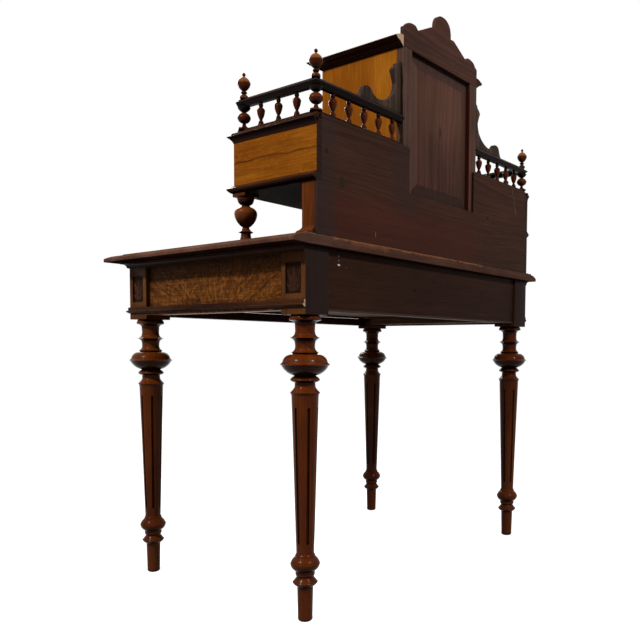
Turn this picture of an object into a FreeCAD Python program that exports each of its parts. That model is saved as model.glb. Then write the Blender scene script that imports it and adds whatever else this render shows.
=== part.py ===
import FreeCAD, Part
import os
import Sketcher
from types import SimpleNamespace
from FreeCAD import Placement, Rotation, Vector

# Bonheur du jour: a lady's writing desk on four turned and fluted legs, with one drawer
# under the top and an upper part of two small drawers on ball columns, a balustrade and a
# middle cabinet. Millimetres, Z up, front towards -Y, origin on the floor below the middle.

driving = {
    # base: posts, aprons and rails
    "legSpanX": 862.6, "legSpanY": 523.4, "postWidth": 66.6, "postLength": 134.4,
    "deskHeight": 780, "topThick": 22, "topOverhang": 42.8, "topBackOverhang": 11.6,
    "topFlat": 11.4, "topFillet": 3, "topNoseUpper": 12, "topNoseLower": 20, "topSwell": 2.2,
    "sunkPanelWidth": 42, "sunkPanelHigh": 60.5, "sunkPanelRise": 41.4, "sunkPanelDeep": 3.2,
    "apronThick": 24, "apronRecess": 10, "apronLipLow": 20, "apronLipHigh": 13,
    "apronDrop": 8.9, "backApronInset": 6, "tenonLong": 18, "tenonThick": 9,
    "dowelRadius": 13, "dowelLong": 36, "joinClearance": 0.15,
    "railThick": 24, "railLowHigh": 22, "railHighHigh": 16, "railShoulder": 3,
    "beadRise": 14.4,
    # desk drawer
    "drawerGap": 1.2, "drawerFrontThick": 20, "drawerBackGap": 90, "drawerSideThick": 11,
    "drawerSideDrop": 10, "drawerFloorThick": 6, "drawerFloorRise": 5, "runnerWide": 30,
    "runnerHigh": 18, "guideWide": 10, "guideHigh": 14, "knobSpread": 460,
    "escutcheonWide": 16, "escutcheonHigh": 26, "escutcheonThick": 1.5,
    # legs
    "shaftTopRadius": 27.4, "fluteCount": 6, "fluteWide": 6, "fluteDeep": 4.5,
    "fluteMargin": 18, "fluteTopMargin": 22.5,
    # upper part: boxes on ball columns in front of a wide back panel
    "upperHalf": 444.6, "backPanelThick": 6, "backPanelInset": 0.5, "backPanelHigh": 230.4,
    "notchHalf": 140, "notchRise": 129, "boxFrontInset": 360.2, "boxSideThick": 14,
    "boxRise": 103, "boxFloorThick": 17, "boxWallHigh": 101, "boxTopThick": 16.3,
    "boxTopInset": 5.7, "rearPostDeep": 34, "rearPostWide": 40, "boxCorniceDrop": 13,
    "boxCorniceLap": 9.7,
    "smallFrontThick": 16, "smallSideThick": 8, "smallFloorThick": 5, "smallBackGap": 18.9,
    "smallGap": 1, "smallSideDrop": 12, "smallFloorRise": 4,
    "columnInset": 14.1, "columnSetback": 21, "abacusWide": 39, "abacusHigh": 7,
    "columnNeckRadius": 17,
    # balustrade
    "railUnder": 46.2, "galleryInset": 12.7, "gallerySetback": 19.1, "rearAxisInset": 14.1,
    "sideBalusters": 3,
    "backBalusters": 5, "backBalusterMargin": 30,
    # middle cabinet
    "cabinetHalf": 158.5, "cabinetFrontInset": 349.5, "cabinetSideThick": 14,
    "cabinetHigh": 473, "cabinetFloorThick": 20, "cabinetTopThick": 24.5,
    "backFrameThick": 18, "stileWide": 33, "backRailHigh": 30, "crestRailDrop": 23,
    "crestRelief": 8,
    "panelThick": 11.5, "panelBevel": 30, "panelBevelDrop": 5, "panelGroove": 8,
    "shelfRise": 210, "shelfThick": 12, "shelfSetback": 26,
    "doorGap": 1.2, "doorThick": 19, "doorStile": 42, "doorRail": 46,
    "doorGroove": 8, "doorPanelThick": 12, "doorPanelSink": 4,
    "hingeRadius": 3.4, "hingePinRadius": 1.5, "hingeFit": 0.06, "hingeHigh": 60,
    "hingeLeafThick": 1.4, "hingeLeafWide": 16, "hingeMargin": 50, "hingeEndGap": 0.3,
    "bracketThick": 12, "bracketSetback": 4,
}

# turned work, from the foot up: name, rise to the station, radius there and how far the
# stretch that leads to it swells out (or, below zero, sinks in)
turnings = {
    "legFoot": [
        ("Tip", 0, 11, 0), ("Round", 8, 15, 2), ("Peg", 64.5, 16.6, 0),
        ("LowRing", 8.7, 26.1, 1.2), ("LowRingTop", 11.3, 17.2, -0.3), ("Waist", 6.5, 20, 0.8),
        ("WaistTop", 6, 20.4, 0), ("HighRing", 15, 30.5, 2.5), ("HighRingTop", 14, 20.8, 1.2),
        ("Band", 3.5, 20.4, 0), ("Flare", 5.5, 18.2, -0.6),
    ],
    "legHead": [
        ("Collar", 7, 30.6, -0.6), ("CollarTop", 11.5, 21, -0.8), ("LowNeck", 8.9, 20.7, 0),
        ("ThinRing", 4.9, 30.2, 1), ("ThinRingTop", 8.2, 21.8, 1.1), ("BulbNeck", 0.6, 22, 0),
        ("BulbUnder", 18.1, 46.2, 3.2), ("BulbRidge", 4.5, 50.8, -0.5),
        ("BulbOver", 4, 45.8, -0.5), ("BulbDome", 15.6, 25.2, 5.2), ("BulbBand", 1.6, 25, 0),
        ("NeckFoot", 2.8, 27.6, 0), ("Neck", 10.8, 20, -2.2), ("NeckTop", 11, 21, -0.3),
        ("Ring", 7.2, 30.7, -1.2), ("RingTop", 7.4, 20.8, -1.4), ("TopNeckFoot", 6.4, 19.8, 0),
        ("TopNeck", 14.6, 20.6, 0), ("Cone", 6.4, 31.4, -1.5), ("Brim", 2, 31.9, 0),
        ("Shoulder", 8.6, 27.5, 1.2),
    ],
    "column": [
        ("Foot", 0, 21.5, 0), ("FootTop", 3, 21, 0), ("Bell", 10, 11, -2.2),
        ("Collar", 7.5, 10.2, 0), ("RingEdge", 2.5, 15.9, 0), ("RingCone", 8.5, 7.2, -0.8),
        ("BallFoot", 2, 7.2, 0), ("BallUnder", 27, 24.3, 3.6), ("BallOver", 14.5, 13.3, 3.2),
        ("CupNeck", 5, 8, -0.6), ("Cup", 9.5, 17, 2.2), ("CupBand", 5.5, 18.2, 0.4),
    ],
    "post": [
        ("Foot", 0, 12.7, 0), ("FootTop", 3.4, 12.4, 0), ("Bell", 8, 3.9, -2),
        ("BallNeck", 2, 3.7, 0), ("BallUnder", 11.2, 14.1, 2.4), ("BallOver", 10.4, 4, 2.4),
        ("CupNeck", 1.4, 4, 0), ("Cup", 7.8, 13, 0.9), ("CupBand", 2, 13.5, 0),
    ],
    "finial": [
        ("Foot", 0, 8.8, 0), ("Bell", 8.6, 3.6, 2.4), ("Neck", 1.8, 3.2, 0),
        ("Ring", 4.6, 3.4, 3.4), ("BallNeck", 1.2, 3.6, 0), ("BallUnder", 15.2, 14, 1.8),
        ("BallOver", 13.8, 2.4, 2.4), ("TipNeck", 1.2, 1.6, 0), ("Tip", 7.5, 0.8, 2.6),
    ],
    "baluster": [
        ("Foot", 0, 7, 0), ("FootTop", 6.7, 5.4, 0), ("Neck", 4.4, 2.8, 0),
        ("Bead", 2.6, 3.9, 0), ("Vase", 16.5, 8.6, 0.8), ("Shoulder", 6.5, 3.2, 1),
        ("Ball", 9.5, 3.2, 1.6),
    ],
    "knob": [
        ("Rose", 0, 11, 0), ("RoseEdge", 2.5, 11, 0), ("Stem", 4.5, 5, 0),
        ("Under", 7, 11.5, 0), ("Crown", 7, 4.5, 2.4),
    ],
}

# outlines that a fretsaw or a moulding plane follows: name, place across, height and swell of
# the stretch to it; mouldings go round from their back at the top to their back at the foot
outlines = {
    # top board of the cabinet's back: in from the ends, then out from the middle
    "crestEnd": [
        ("Corner", 0, 20, 0), ("Ear", 9.5, 25.5, 0), ("KnobOuter", 17, 32.5, 0.4),
        ("KnobInner", 42, 36.5, 1.4), ("Lobe", 50, 33.5, 0.8), ("Dip", 56.5, 29, -0.6),
    ],
    "crestHeart": [
        ("Shoulder", 50, 55, 0), ("Throat", 34.5, 54.5, 1.2), ("Brow", 33.6, 69, 0.3),
        ("Temple", 24.8, 86.5, 1.8), ("Tip", 0, 94.5, 2.7),
    ],
    "bracket": [
        ("Foot", 144, 0, 0), ("Toe", 136, 14, -0.6), ("Scroll", 129, 26.5, 1),
        ("Crown", 112, 29.3, 1.2), ("Heel", 103, 23.5, 1), ("Hollow", 88, 12.3, -1.2),
        ("Arch", 66, 14, -1), ("Calf", 26, 39.5, -4), ("Knee", 19, 63, -1.1),
        ("Lip", 30.3, 90, -0.4), ("Chin", 16.5, 102.5, 1.2), ("Brow", 16, 107, 0),
        ("Head", 0, 116, 0.5),
    ],
    "bead": [
        ("Head", 3.4, 14.5, 0), ("Band", 3.4, 7.2, 0), ("Nose", 5.6, 6.8, 0),
        ("Round", 5.6, 2.6, 1.5), ("Foot", 2.2, 0, -0.4), ("Back", 0, 0, 0),
    ],
    "under": [
        ("Lip", 14.7, 12.6, 0), ("LipLow", 14.7, 10.6, 0), ("Soffit", 12.8, 10.4, 0),
        ("Cove", 4.6, 3.6, -1.8), ("Ledge", 4.6, 1.8, 0), ("Foot", 2, 1.4, 0),
        ("Back", 0, 0, 0),
    ],
    "boxCornice": [
        ("Rim", 3.2, 20.4, 0.5), ("Step", 3.6, 18.8, 0), ("Nose", 10.5, 14.4, -0.5),
        ("NoseLow", 10.5, 12.8, 0), ("Back", 0, 0, -1.8),
    ],
    "boxBase": [
        ("Head", 1.6, 17, 0), ("Nose", 11.3, 10.6, -1), ("NoseLow", 11.3, 8.6, 0),
        ("Foot", 3.4, 1, 0.8), ("Back", 0, 0, 0),
    ],
    # foot of a rear post, from the desk top up
    "plinth": [
        ("Foot", 9, 0, 0), ("Lip", 9, 5.6, 0), ("Ledge", 4, 9.6, 0.4), ("Cove", 3, 11, 0),
        ("Top", 0, 18, -1),
    ],
    "cornice": [
        ("Deck", 9, 24.5, 0), ("Nose", 27, 18, 0), ("NoseLow", 27, 15.6, 0),
        ("NoseSoffit", 24.4, 15.2, 0), ("Crown", 17.6, 10.4, 1.1), ("Quirk", 15.4, 10, 0),
        ("Cove", 9.8, 7, -0.9), ("Ledge", 9.8, 5.6, 0), ("Soffit", 5.4, 5, 0),
        ("Bead", 3.2, 1.8, 0.9), ("Back", 0, 0, 0),
    ],
    # one side of the balustrade's rail, from its foot up
    "rail": [
        ("Foot", 5.5, 0, 0), ("Nose", 12.4, 8.4, -0.3), ("NoseTop", 12.4, 10.4, 0),
        ("Groove", 9.8, 11.2, 0), ("Slope", 9, 12.6, 0), ("Ledge", 5.6, 14.6, 0),
        ("Rim", 5, 16.4, 0), ("Top", 3, 18, 0),
    ],
}

document = FreeCAD.newDocument("BonheurDuJour")
sheet = document.addObject("Spreadsheet::Sheet", "Sizes")


class Dim:
    # a size in millimetres together with the spreadsheet expression that gives it
    def __init__(self, value, text):
        self.value = value
        self.text = text

    def __add__(self, other):
        other = asDim(other)
        return Dim(self.value + other.value, f"({self.text} + {other.text})")

    def __sub__(self, other):
        other = asDim(other)
        return Dim(self.value - other.value, f"({self.text} - {other.text})")

    def __mul__(self, other):
        other = asDim(other)
        return Dim(self.value * other.value, f"({self.text} * {other.text})")

    def __truediv__(self, other):
        other = asDim(other)
        return Dim(self.value / other.value, f"({self.text} / {other.text})")

    def __rsub__(self, other):
        return asDim(other) - self

    def __neg__(self):
        return Dim(-self.value, f"(0 - {self.text})")

    __radd__ = __add__
    __rmul__ = __mul__


def asDim(value):
    return value if isinstance(value, Dim) else Dim(value, repr(value))


def fillSheet():
    rows = dict(driving)
    for prefix, stations in turnings.items():
        for name, rise, radius, swell in stations:
            rows[prefix + name + "Rise"] = rise
            rows[prefix + name + "Radius"] = radius
            rows[prefix + name + "Swell"] = swell
    for prefix, line in outlines.items():
        for name, across, height, swell in line:
            rows[prefix + name + "Across"] = across
            rows[prefix + name + "High"] = height
            rows[prefix + name + "Swell"] = swell
    for row, (alias, value) in enumerate(rows.items(), start=1):
        sheet.set(f"A{row}", alias)
        sheet.set(f"B{row}", str(value))
        sheet.setAlias(f"B{row}", alias)
    document.recompute()
    return SimpleNamespace(**{alias: Dim(sheet.get(alias), "Sizes." + alias) for alias in rows})


size = fillSheet()
nodes = []


def bind(thing, path, dim):
    thing.setExpression(path, asDim(dim).text)


def place(thing, x, y, z, turn=0, axis=Vector(0, 0, 1)):
    spot = Vector(asDim(x).value, asDim(y).value, asDim(z).value)
    thing.Placement = Placement(spot, Rotation(axis, turn))
    for letter, dim in zip("xyz", (x, y, z)):
        bind(thing, "Placement.Base." + letter, dim)
    return thing


def node(thing, name):
    thing.Label = name
    nodes.append(thing)
    return thing


def board(name, xs, ys, zs):
    box = document.addObject("Part::Box", name)
    for prop, (low, high) in (("Length", xs), ("Width", ys), ("Height", zs)):
        bind(box, prop, asDim(high) - low)
    return place(box, xs[0], ys[0], zs[0])


def joined(kind, name, base, tools):
    whole = document.addObject(kind, name)
    tool = tools[0]
    if len(tools) > 1:
        tool = document.addObject("Part::MultiFuse", name + "_tools")
        tool.Shapes = tools
    whole.Base = base
    whole.Tool = tool
    return whole


def group(name, members):
    whole = document.addObject("Part::Compound", name)
    whole.Links = members
    return whole


def outline(body, name, plane, points):
    # closed outline, anticlockwise; a point is (x, y) or (x, y, swell of the stretch to it)
    sketch = body.newObject("Sketcher::SketchObject", name)
    support = [f for f in body.Origin.OriginFeatures if f.Role == plane][0]
    sketch.AttachmentSupport = [(support, "")]
    sketch.MapMode = "FlatFace"
    corners = [(asDim(p[0]), asDim(p[1])) for p in points]
    swells = [asDim(p[2]) if len(p) > 2 else asDim(0) for p in points]
    edges = []
    ends = []
    radii = []
    for i, (x, y) in enumerate(corners):
        before, swell = corners[i - 1], swells[i]
        a, b = Vector(before[0].value, before[1].value, 0), Vector(x.value, y.value, 0)
        if swell.value == 0:
            edges.append(Part.LineSegment(a, b))
            ends.append((1, 2))
            continue
        across = b - a
        outward = Vector(across.y, -across.x, 0).normalize()
        edges.append(Part.Arc(a, (a + b) * 0.5 + outward * swell.value, b))
        ends.append((1, 2) if swell.value > 0 else (2, 1))
        wide, high = x - before[0], y - before[1]
        rise = swell if swell.value > 0 else -swell
        radius = ((wide * wide + high * high) / 4 + rise * rise) / (rise * 2)
        radii.append((i, radius))
    sketch.addGeometry(edges, False)
    rules = []
    dims = []
    for i, (x, y) in enumerate(corners):
        after = (i + 1) % len(corners)
        rules.append(Sketcher.Constraint("Coincident", i, ends[i][1], after, ends[after][0]))
        dims.append(None)
        for kind, dim in (("DistanceX", x), ("DistanceY", y)):
            rules.append(Sketcher.Constraint(kind, -1, 1, i, ends[i][1], dim.value))
            dims.append(dim)
    for i, radius in radii:
        rules.append(Sketcher.Constraint("Radius", i, radius.value))
        dims.append(radius)
    sketch.addConstraint(rules)
    for i, dim in enumerate(dims):
        if dim is not None and "Sizes" in dim.text:
            bind(sketch, f"Constraints[{i}]", dim)
    return sketch


def prism(name, plane, points, length):
    # a straight-sawn or moulded length: its section drawn on a plane and padded off it
    body = document.addObject("PartDesign::Body", name)
    sketch = outline(body, name + "_section", plane, points)
    pad = body.newObject("PartDesign::Pad", name + "_pad")
    pad.Profile = sketch
    bind(pad, "Length", length)
    return body


def stations(prefix):
    # an outline's points as (across, height, swell)
    return [tuple(getattr(size, prefix + name + kind) for kind in ("Across", "High", "Swell"))
            for name, *rest in outlines[prefix]]


def moulding(prefix, back, foot, top, head=()):
    # a moulding's section with its outside towards -Y: back edge, any head points, outline
    shape = [(-out, foot + high, swell) for out, high, swell in stations(prefix)]
    return [(back, top), *head, *shape]


def turnedPoints(prefix):
    # stations up a turning, each a radius and a height above its foot
    height = asDim(0)
    points = []
    for name, *rest in turnings[prefix]:
        height = height + getattr(size, prefix + name + "Rise")
        radius = getattr(size, prefix + name + "Radius")
        points.append((radius, height, getattr(size, prefix + name + "Swell")))
    return points, height


def turnedBody(name, points):
    # points from the axis at the foot, up the outside and back to the axis at the top
    body = document.addObject("PartDesign::Body", name)
    sketch = outline(body, name + "_profile", "XZ_Plane", points)
    spin = body.newObject("PartDesign::Revolution", name + "_turning")
    spin.Profile = sketch
    spin.ReferenceAxis = (sketch, ["V_Axis"])
    spin.Angle = 360
    return body, sketch


def turned(name, prefix, extra=()):
    points, top = turnedPoints(prefix)
    whole = [(0, 0)] + points + list(extra) + [(0, extra[-1][1] if extra else top)]
    return turnedBody(name, whole)[0]


# heights and faces that several pieces share
legX = size.legSpanX / 2
halfPost = size.postWidth / 2
centreY = (size.topOverhang + halfPost - size.legHeadBulbRidgeRadius) / 2
frontY = centreY - size.legSpanY / 2
backY = centreY + size.legSpanY / 2
carcassX = legX + halfPost
carcassFront = frontY - halfPost
carcassBack = backY + halfPost
innerX = legX - halfPost
topUnder = size.deskHeight - size.topThick
postFoot = topUnder - size.postLength
apronFoot = postFoot + size.apronDrop
sides = (("left", -1), ("right", 1))


def span(side, low, high):
    return (low, high) if side > 0 else (-asDim(high), -asDim(low))


def makeLeg(name, x, y):
    # turned leg: foot, tapered shaft with stopped flutes, head and a dowel for the post
    foot, shaftFoot = turnedPoints("legFoot")
    head, headTop = turnedPoints("legHead")
    lift = postFoot - headTop
    shaftTop = (size.shaftTopRadius, lift, 0)
    head = [(r, z + lift, s) for r, z, s in head]
    dowelTop = postFoot + size.dowelLong
    dowel = [(size.dowelRadius, postFoot), (size.dowelRadius, dowelTop), (0, dowelTop)]
    body, profile = turnedBody(name, [(0, 0)] + foot + [shaftTop] + head + dowel)
    low = shaftFoot + size.fluteMargin
    high = lift - size.fluteTopMargin
    slope = (size.shaftTopRadius - size.legFootFlareRadius) / (lift - shaftFoot)
    lowRadius = size.legFootFlareRadius + slope * (low - shaftFoot)
    highRadius = size.shaftTopRadius - slope * (lift - high)
    section = [
        (lowRadius - size.fluteDeep, low), (lowRadius + size.fluteDeep, low),
        (highRadius + size.fluteDeep, high), (highRadius - size.fluteDeep, high),
    ]
    flute = body.newObject("PartDesign::Pocket", name + "_flute")
    flute.Profile = outline(body, name + "_flute_section", "XZ_Plane", section)
    flute.SideType = "Symmetric"
    bind(flute, "Length", size.fluteWide)
    body.Tip = flute
    ring = body.newObject("PartDesign::PolarPattern", name + "_flutes")
    ring.Originals = [flute]
    ring.Axis = (profile, ["V_Axis"])
    ring.Angle = 360
    bind(ring, "Occurrences", size.fluteCount)
    body.Tip = ring
    node(place(body, x, y, 0), name)


def makePost(name, side, x, y, front):
    # square post: a sunk panel on each shown face, mortises for the rails, a dowel bore
    block = board(name + "_block", (x - halfPost, x + halfPost), (y - halfPost, y + halfPost),
                  (postFoot, topUnder))
    halfPanel = size.sunkPanelWidth / 2
    panelZ = (postFoot + size.sunkPanelRise, postFoot + size.sunkPanelRise + size.sunkPanelHigh)
    face = x + halfPost * side
    outer = (face - size.sunkPanelDeep * side, face)
    tools = [board(name + "_side_panel", outer if side > 0 else outer[::-1],
                   (y - halfPanel, y + halfPanel), panelZ)]
    if front:
        tools.append(board(name + "_front_panel", (x - halfPanel, x + halfPanel),
                           (y - halfPost, y - halfPost + size.sunkPanelDeep), panelZ))
    room = size.joinClearance
    halfTenon = size.tenonThick / 2 + room
    along = (y + halfPost - size.tenonLong - room, y + halfPost)
    if not front:
        along = (y - halfPost, y - halfPost + size.tenonLong + room)
    tenonX = tenonCentre(side)
    mortiseZ = (apronFoot + size.apronLipLow - room, topUnder - size.apronLipHigh + room)
    tools.append(board(name + "_side_mortise", (tenonX - halfTenon, tenonX + halfTenon),
                       along, mortiseZ))
    across = span(side, innerX, innerX + size.tenonLong + room)
    for label, tenonY, zs in crossTenons(front):
        tools.append(board(f"{name}_{label}_mortise", across,
                           (tenonY - halfTenon, tenonY + halfTenon),
                           (zs[0] - room, zs[1] + room)))
    bore = document.addObject("Part::Cylinder", name + "_bore")
    bind(bore, "Radius", size.dowelRadius + room)
    bind(bore, "Height", size.dowelLong + room)
    place(bore, x, y, postFoot)
    node(joined("Part::Cut", name, block, tools + [bore]), name)


def tenonCentre(side):
    # side aprons: the tenon lies in the middle of the thinner, recessed field
    return (carcassX - (size.apronRecess + size.apronThick) / 2) * side


def crossTenons(front):
    # rails that run across the desk: place of the tenon and its height at front or back
    if front:
        y = carcassFront + size.railThick / 2
        shoulder = size.railShoulder
        return (("low", y, (apronFoot + shoulder, railLowTop - shoulder)),
                ("high", y, (railHighFoot + shoulder, topUnder)))
    y = carcassBack - size.backApronInset - size.railThick / 2
    return (("back", y, (apronFoot + size.apronLipLow, topUnder - size.apronLipHigh)),)


def makeApron(name, side):
    # side apron: flush lips above and below a figured panel set back from the posts
    face = carcassX
    back = face - size.apronThick
    field = face - size.apronRecess
    lowLip = apronFoot + size.apronLipLow
    highLip = topUnder - size.apronLipHigh
    section = [
        (back, apronFoot), (face, apronFoot), (face, lowLip), (field, lowLip),
        (field, highLip), (face, highLip), (face, topUnder), (back, topUnder),
    ]
    if side < 0:
        section = [(-x, z) for x, z in reversed(section)]
    length = size.legSpanY - size.postWidth
    apron = prism(name + "_board", "XZ_Plane", section, length)
    place(apron, 0, backY - halfPost, 0)
    halfTenon = size.tenonThick / 2
    middle = tenonCentre(side)
    tenon = board(name + "_tenon", (middle - halfTenon, middle + halfTenon),
                  (frontY + halfPost - size.tenonLong, backY - halfPost + size.tenonLong),
                  (lowLip, highLip))
    node(joined("Part::Fuse", name, apron, [tenon]), name)


def makeCrossRail(name, ys, zs, label, front):
    rail = board(name + "_board", (-innerX, innerX), ys, zs)
    halfTenon = size.tenonThick / 2
    spots = {spot[0]: spot for spot in crossTenons(front)}
    tenonY, tenonZ = spots[label][1:]
    reach = innerX + size.tenonLong
    tenon = board(name + "_tenon", (-reach, reach), (tenonY - halfTenon, tenonY + halfTenon), tenonZ)
    node(joined("Part::Fuse", name, rail, [tenon]), name)


def strip(name, section, run, reach, mitres, high):
    # a moulding: its section runs along +X from 0, its outside faces -Y; an end with a
    # mitre of 1 grows with the projection, one with 0 is sawn square
    body = prism(name + "_length", "YZ_Plane", section, run + reach * 2)
    place(body, -reach, 0, 0)
    tongue = size.boxTopInset
    start, finish = mitres
    plan = [
        (-reach * start, -reach), (run + reach * finish, -reach),
        (run - tongue * finish, tongue), (tongue * start, tongue),
    ]
    mask = prism(name + "_plan", "XY_Plane", plan, high)
    whole = document.addObject("Part::Common", name)
    whole.Base = body
    whole.Tool = mask
    return whole


def mouldingRun(name, section, reach, high, corners):
    # front and two sides of a rectangle given by (half width, front, back)
    half, front, back = corners
    deep = back - front
    strips = []
    piece = strip(name + "_front", section, half * 2, reach, (1, 1), high)
    strips.append(place(piece, -half, front, 0))
    for label, side in sides:
        mitres = (0, 1) if side < 0 else (1, 0)
        piece = strip(f"{name}_{label}", section, deep, reach, mitres, high)
        if side < 0:
            place(piece, -half, back, 0, -90)
        else:
            place(piece, half, front, 0, 90)
        strips.append(piece)
    return strips


def makeBaseMouldings():
    corners = (carcassX, carcassFront, carcassBack)
    foot = postFoot + size.beadRise
    high = foot + size.beadHeadHigh
    strips = mouldingRun("bead", moulding("bead", 0, foot, high),
                         size.beadNoseAcross + size.beadRoundSwell, high, corners)
    node(group("bead_mouldings", strips), "bead_mouldings")
    under = moulding("under", 0, topUnder - size.underLipHigh, topUnder)
    strips = mouldingRun("under", under, size.underLipAcross, topUnder, corners)
    node(group("under_mouldings", strips), "under_mouldings")


def makeTop():
    # solid top: a flat field, a small fillet and a thumbnail slope out to a thin nose on the
    # front and both ends; the mitred corners come from two lengths that cross
    flat = size.topFlat
    nose = size.topOverhang
    noseTop = size.deskHeight - size.topNoseUpper
    noseLow = size.deskHeight - size.topNoseLower
    slopeTop = size.deskHeight - size.topFillet
    endX = carcassX + nose
    ends = [
        (carcassX, topUnder), (endX, noseLow), (endX, noseTop),
        (carcassX + flat, slopeTop, size.topSwell), (carcassX + flat, size.deskHeight),
    ]
    mirrored = [(-p[0], p[1]) for p in reversed(ends)]
    mirrored[2] = (*mirrored[2], size.topSwell)
    frontEdge = carcassFront - nose
    backEdge = carcassBack + size.topBackOverhang
    across = prism("desk_top_across", "XZ_Plane", ends + mirrored, backEdge - frontEdge)
    place(across, 0, backEdge, 0)
    deep = [
        (carcassFront, topUnder), (backEdge, topUnder), (backEdge, size.deskHeight),
        (carcassFront - flat, size.deskHeight), (carcassFront - flat, slopeTop),
        (frontEdge, noseTop, size.topSwell), (frontEdge, noseLow),
    ]
    along = prism("desk_top_along", "YZ_Plane", deep, endX * 2)
    place(along, -endX, 0, 0)
    top = document.addObject("Part::Common", "desk_top")
    top.Base = across
    top.Tool = along
    node(top, "desk_top")


def makeBase():
    for label, side in sides:
        for end, y in (("front", frontY), ("back", backY)):
            makeLeg(f"leg_{end}_{label}", legX * side, y)
            makePost(f"post_{end}_{label}", side, legX * side, y, end == "front")
        makeApron("apron_" + label, side)
    faceY = (carcassFront, carcassFront + size.railThick)
    makeCrossRail("front_rail_lower", faceY, (apronFoot, railLowTop), "low", True)
    makeCrossRail("front_rail_upper", faceY, (railHighFoot, topUnder), "high", True)
    backFace = carcassBack - size.backApronInset
    makeCrossRail("apron_back", (backFace - size.railThick, backFace), (apronFoot, topUnder),
                  "back", False)
    makeBaseMouldings()
    makeTop()
    runners = []
    guideX = innerX
    for label, side in sides:
        bed = board("runner_bed_" + label, span(side, guideX - size.runnerWide / 2,
                    carcassX - size.apronThick), (frontY + halfPost, backY - halfPost),
                    (railLowTop - size.runnerHigh, railLowTop))
        guide = board("runner_guide_" + label, span(side, guideX, guideX + size.guideWide),
                      (frontY + halfPost, backY - halfPost),
                      (railLowTop, railLowTop + size.guideHigh))
        runners.append(joined("Part::Fuse", "runner_" + label, bed, [guide]))
    node(group("drawer_runners", runners), "drawer_runners")


def makeKnob(name, x, y, z):
    knob = turned(name + "_turning", "knob")
    return place(knob, x, y, z, 90, Vector(1, 0, 0))


def makeTray(name, xs, ys, zs, thick, floor, floorRise):
    # two sides, a back and a floor housed between them, as separate boards
    low, high = zs
    sideLow = board(name + "_side_low", (xs[0], xs[0] + thick), ys, zs)
    sideHigh = board(name + "_side_high", (xs[1] - thick, xs[1]), ys, zs)
    back = board(name + "_back", (xs[0] + thick, xs[1] - thick), (ys[1] - thick, ys[1]),
                 (low + floorRise + floor, high))
    base = board(name + "_floor", (xs[0] + thick, xs[1] - thick), ys,
                 (low + floorRise, low + floorRise + floor))
    node(group(name, [sideLow, sideHigh, back, base]), name)


def makeDeskDrawer():
    gap = size.drawerGap
    half = innerX - gap
    face = carcassFront + size.apronRecess
    low, high = railLowTop + gap, railHighFoot - gap
    back = face + size.drawerFrontThick
    node(board("desk_drawer_front", (-half, half), (face, back), (low, high)),
         "desk_drawer_front")
    rail = carcassBack - size.backApronInset - size.railThick
    makeTray("desk_drawer_tray", (-half + gap, half - gap), (back, rail - size.drawerBackGap),
             (low, high - size.drawerSideDrop), size.drawerSideThick, size.drawerFloorThick,
             size.drawerFloorRise)
    middle = (low + high) / 2
    knobs = [makeKnob("desk_knob_" + label, size.knobSpread / 2 * side, face, middle)
             for label, side in sides]
    node(group("desk_drawer_knobs", knobs), "desk_drawer_knobs")
    node(board("desk_drawer_escutcheon",
               (-size.escutcheonWide / 2, size.escutcheonWide / 2),
               (face - size.escutcheonThick, face),
               (middle - size.escutcheonHigh / 2, middle + size.escutcheonHigh / 2)),
         "desk_drawer_escutcheon")


def makeBackPanel():
    # wide thin back board, let in between the boxes' sides and cut down behind the cabinet
    half, notch = size.upperHalf, size.notchHalf
    inner = half - size.boxSideThick
    foot = size.deskHeight
    step = foot + size.boxRise
    top = foot + size.backPanelHigh
    shape = [
        (-half, foot), (half, foot), (half, step), (inner, step), (inner, top), (notch, top),
        (notch, foot + size.notchRise), (-notch, foot + size.notchRise), (-notch, top),
        (-inner, top), (-inner, step), (-half, step),
    ]
    panel = prism("back_panel", "XZ_Plane", shape, size.backPanelThick)
    node(place(panel, 0, panelBack, 0), "back_panel")


def makeBox(label, side):
    # a box for one small drawer: outer side on the end of the floor, a top over both, and
    # mouldings on side and front; side and floor reach back beside the back board
    half = size.upperHalf
    inner = half - size.boxSideThick
    floorLow = size.deskHeight + size.boxRise
    floorTop = floorLow + size.boxFloorThick
    wallTop = floorTop + size.boxWallHigh
    front, back = boxFront, panelBack
    node(board("box_side_" + label, span(side, inner, half), (front, back), (floorTop, wallTop)),
         "box_side_" + label)
    plan = [
        (size.cabinetHalf, front), (half, front), (half, back), (inner, back),
        (inner, panelFront), (size.cabinetHalf, panelFront),
    ]
    floor = prism("box_floor_" + label, "XY_Plane", mirroredIf(side < 0, plan),
                  size.boxFloorThick)
    node(place(floor, 0, 0, floorLow), "box_floor_" + label)
    inset = size.boxTopInset
    node(board("box_top_" + label, span(side, size.cabinetHalf, half - inset),
               (front + inset, panelFront), (wallTop, wallTop + size.boxTopThick)),
         "box_top_" + label)
    foot = wallTop - size.boxCorniceDrop
    rim = wallTop + size.boxCorniceLap
    tongue = [(inset, wallTop), (inset, rim), (0, rim)]
    cornice = moulding("boxCornice", 0, foot, wallTop, tongue)
    base = moulding("boxBase", 0, floorLow, floorTop)
    strips = []
    for kind, section, reach in (("cornice", cornice, size.boxCorniceNoseAcross),
                                 ("base", base, size.boxBaseNoseAcross)):
        long, wide = back - front, half - size.cabinetHalf
        onSide = strip(f"box_{kind}_side_{label}", section, long, reach,
                       (1, 0) if side > 0 else (0, 1), rim)
        onFront = strip(f"box_{kind}_front_{label}", section, wide, reach,
                        (0, 1) if side > 0 else (1, 0), rim)
        if side > 0:
            place(onSide, half, front, 0, 90)
            place(onFront, size.cabinetHalf, front, 0)
        else:
            place(onSide, -half, back, 0, -90)
            place(onFront, -half, front, 0)
        strips += [onSide, onFront]
    node(group("box_mouldings_" + label, strips), "box_mouldings_" + label)


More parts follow.
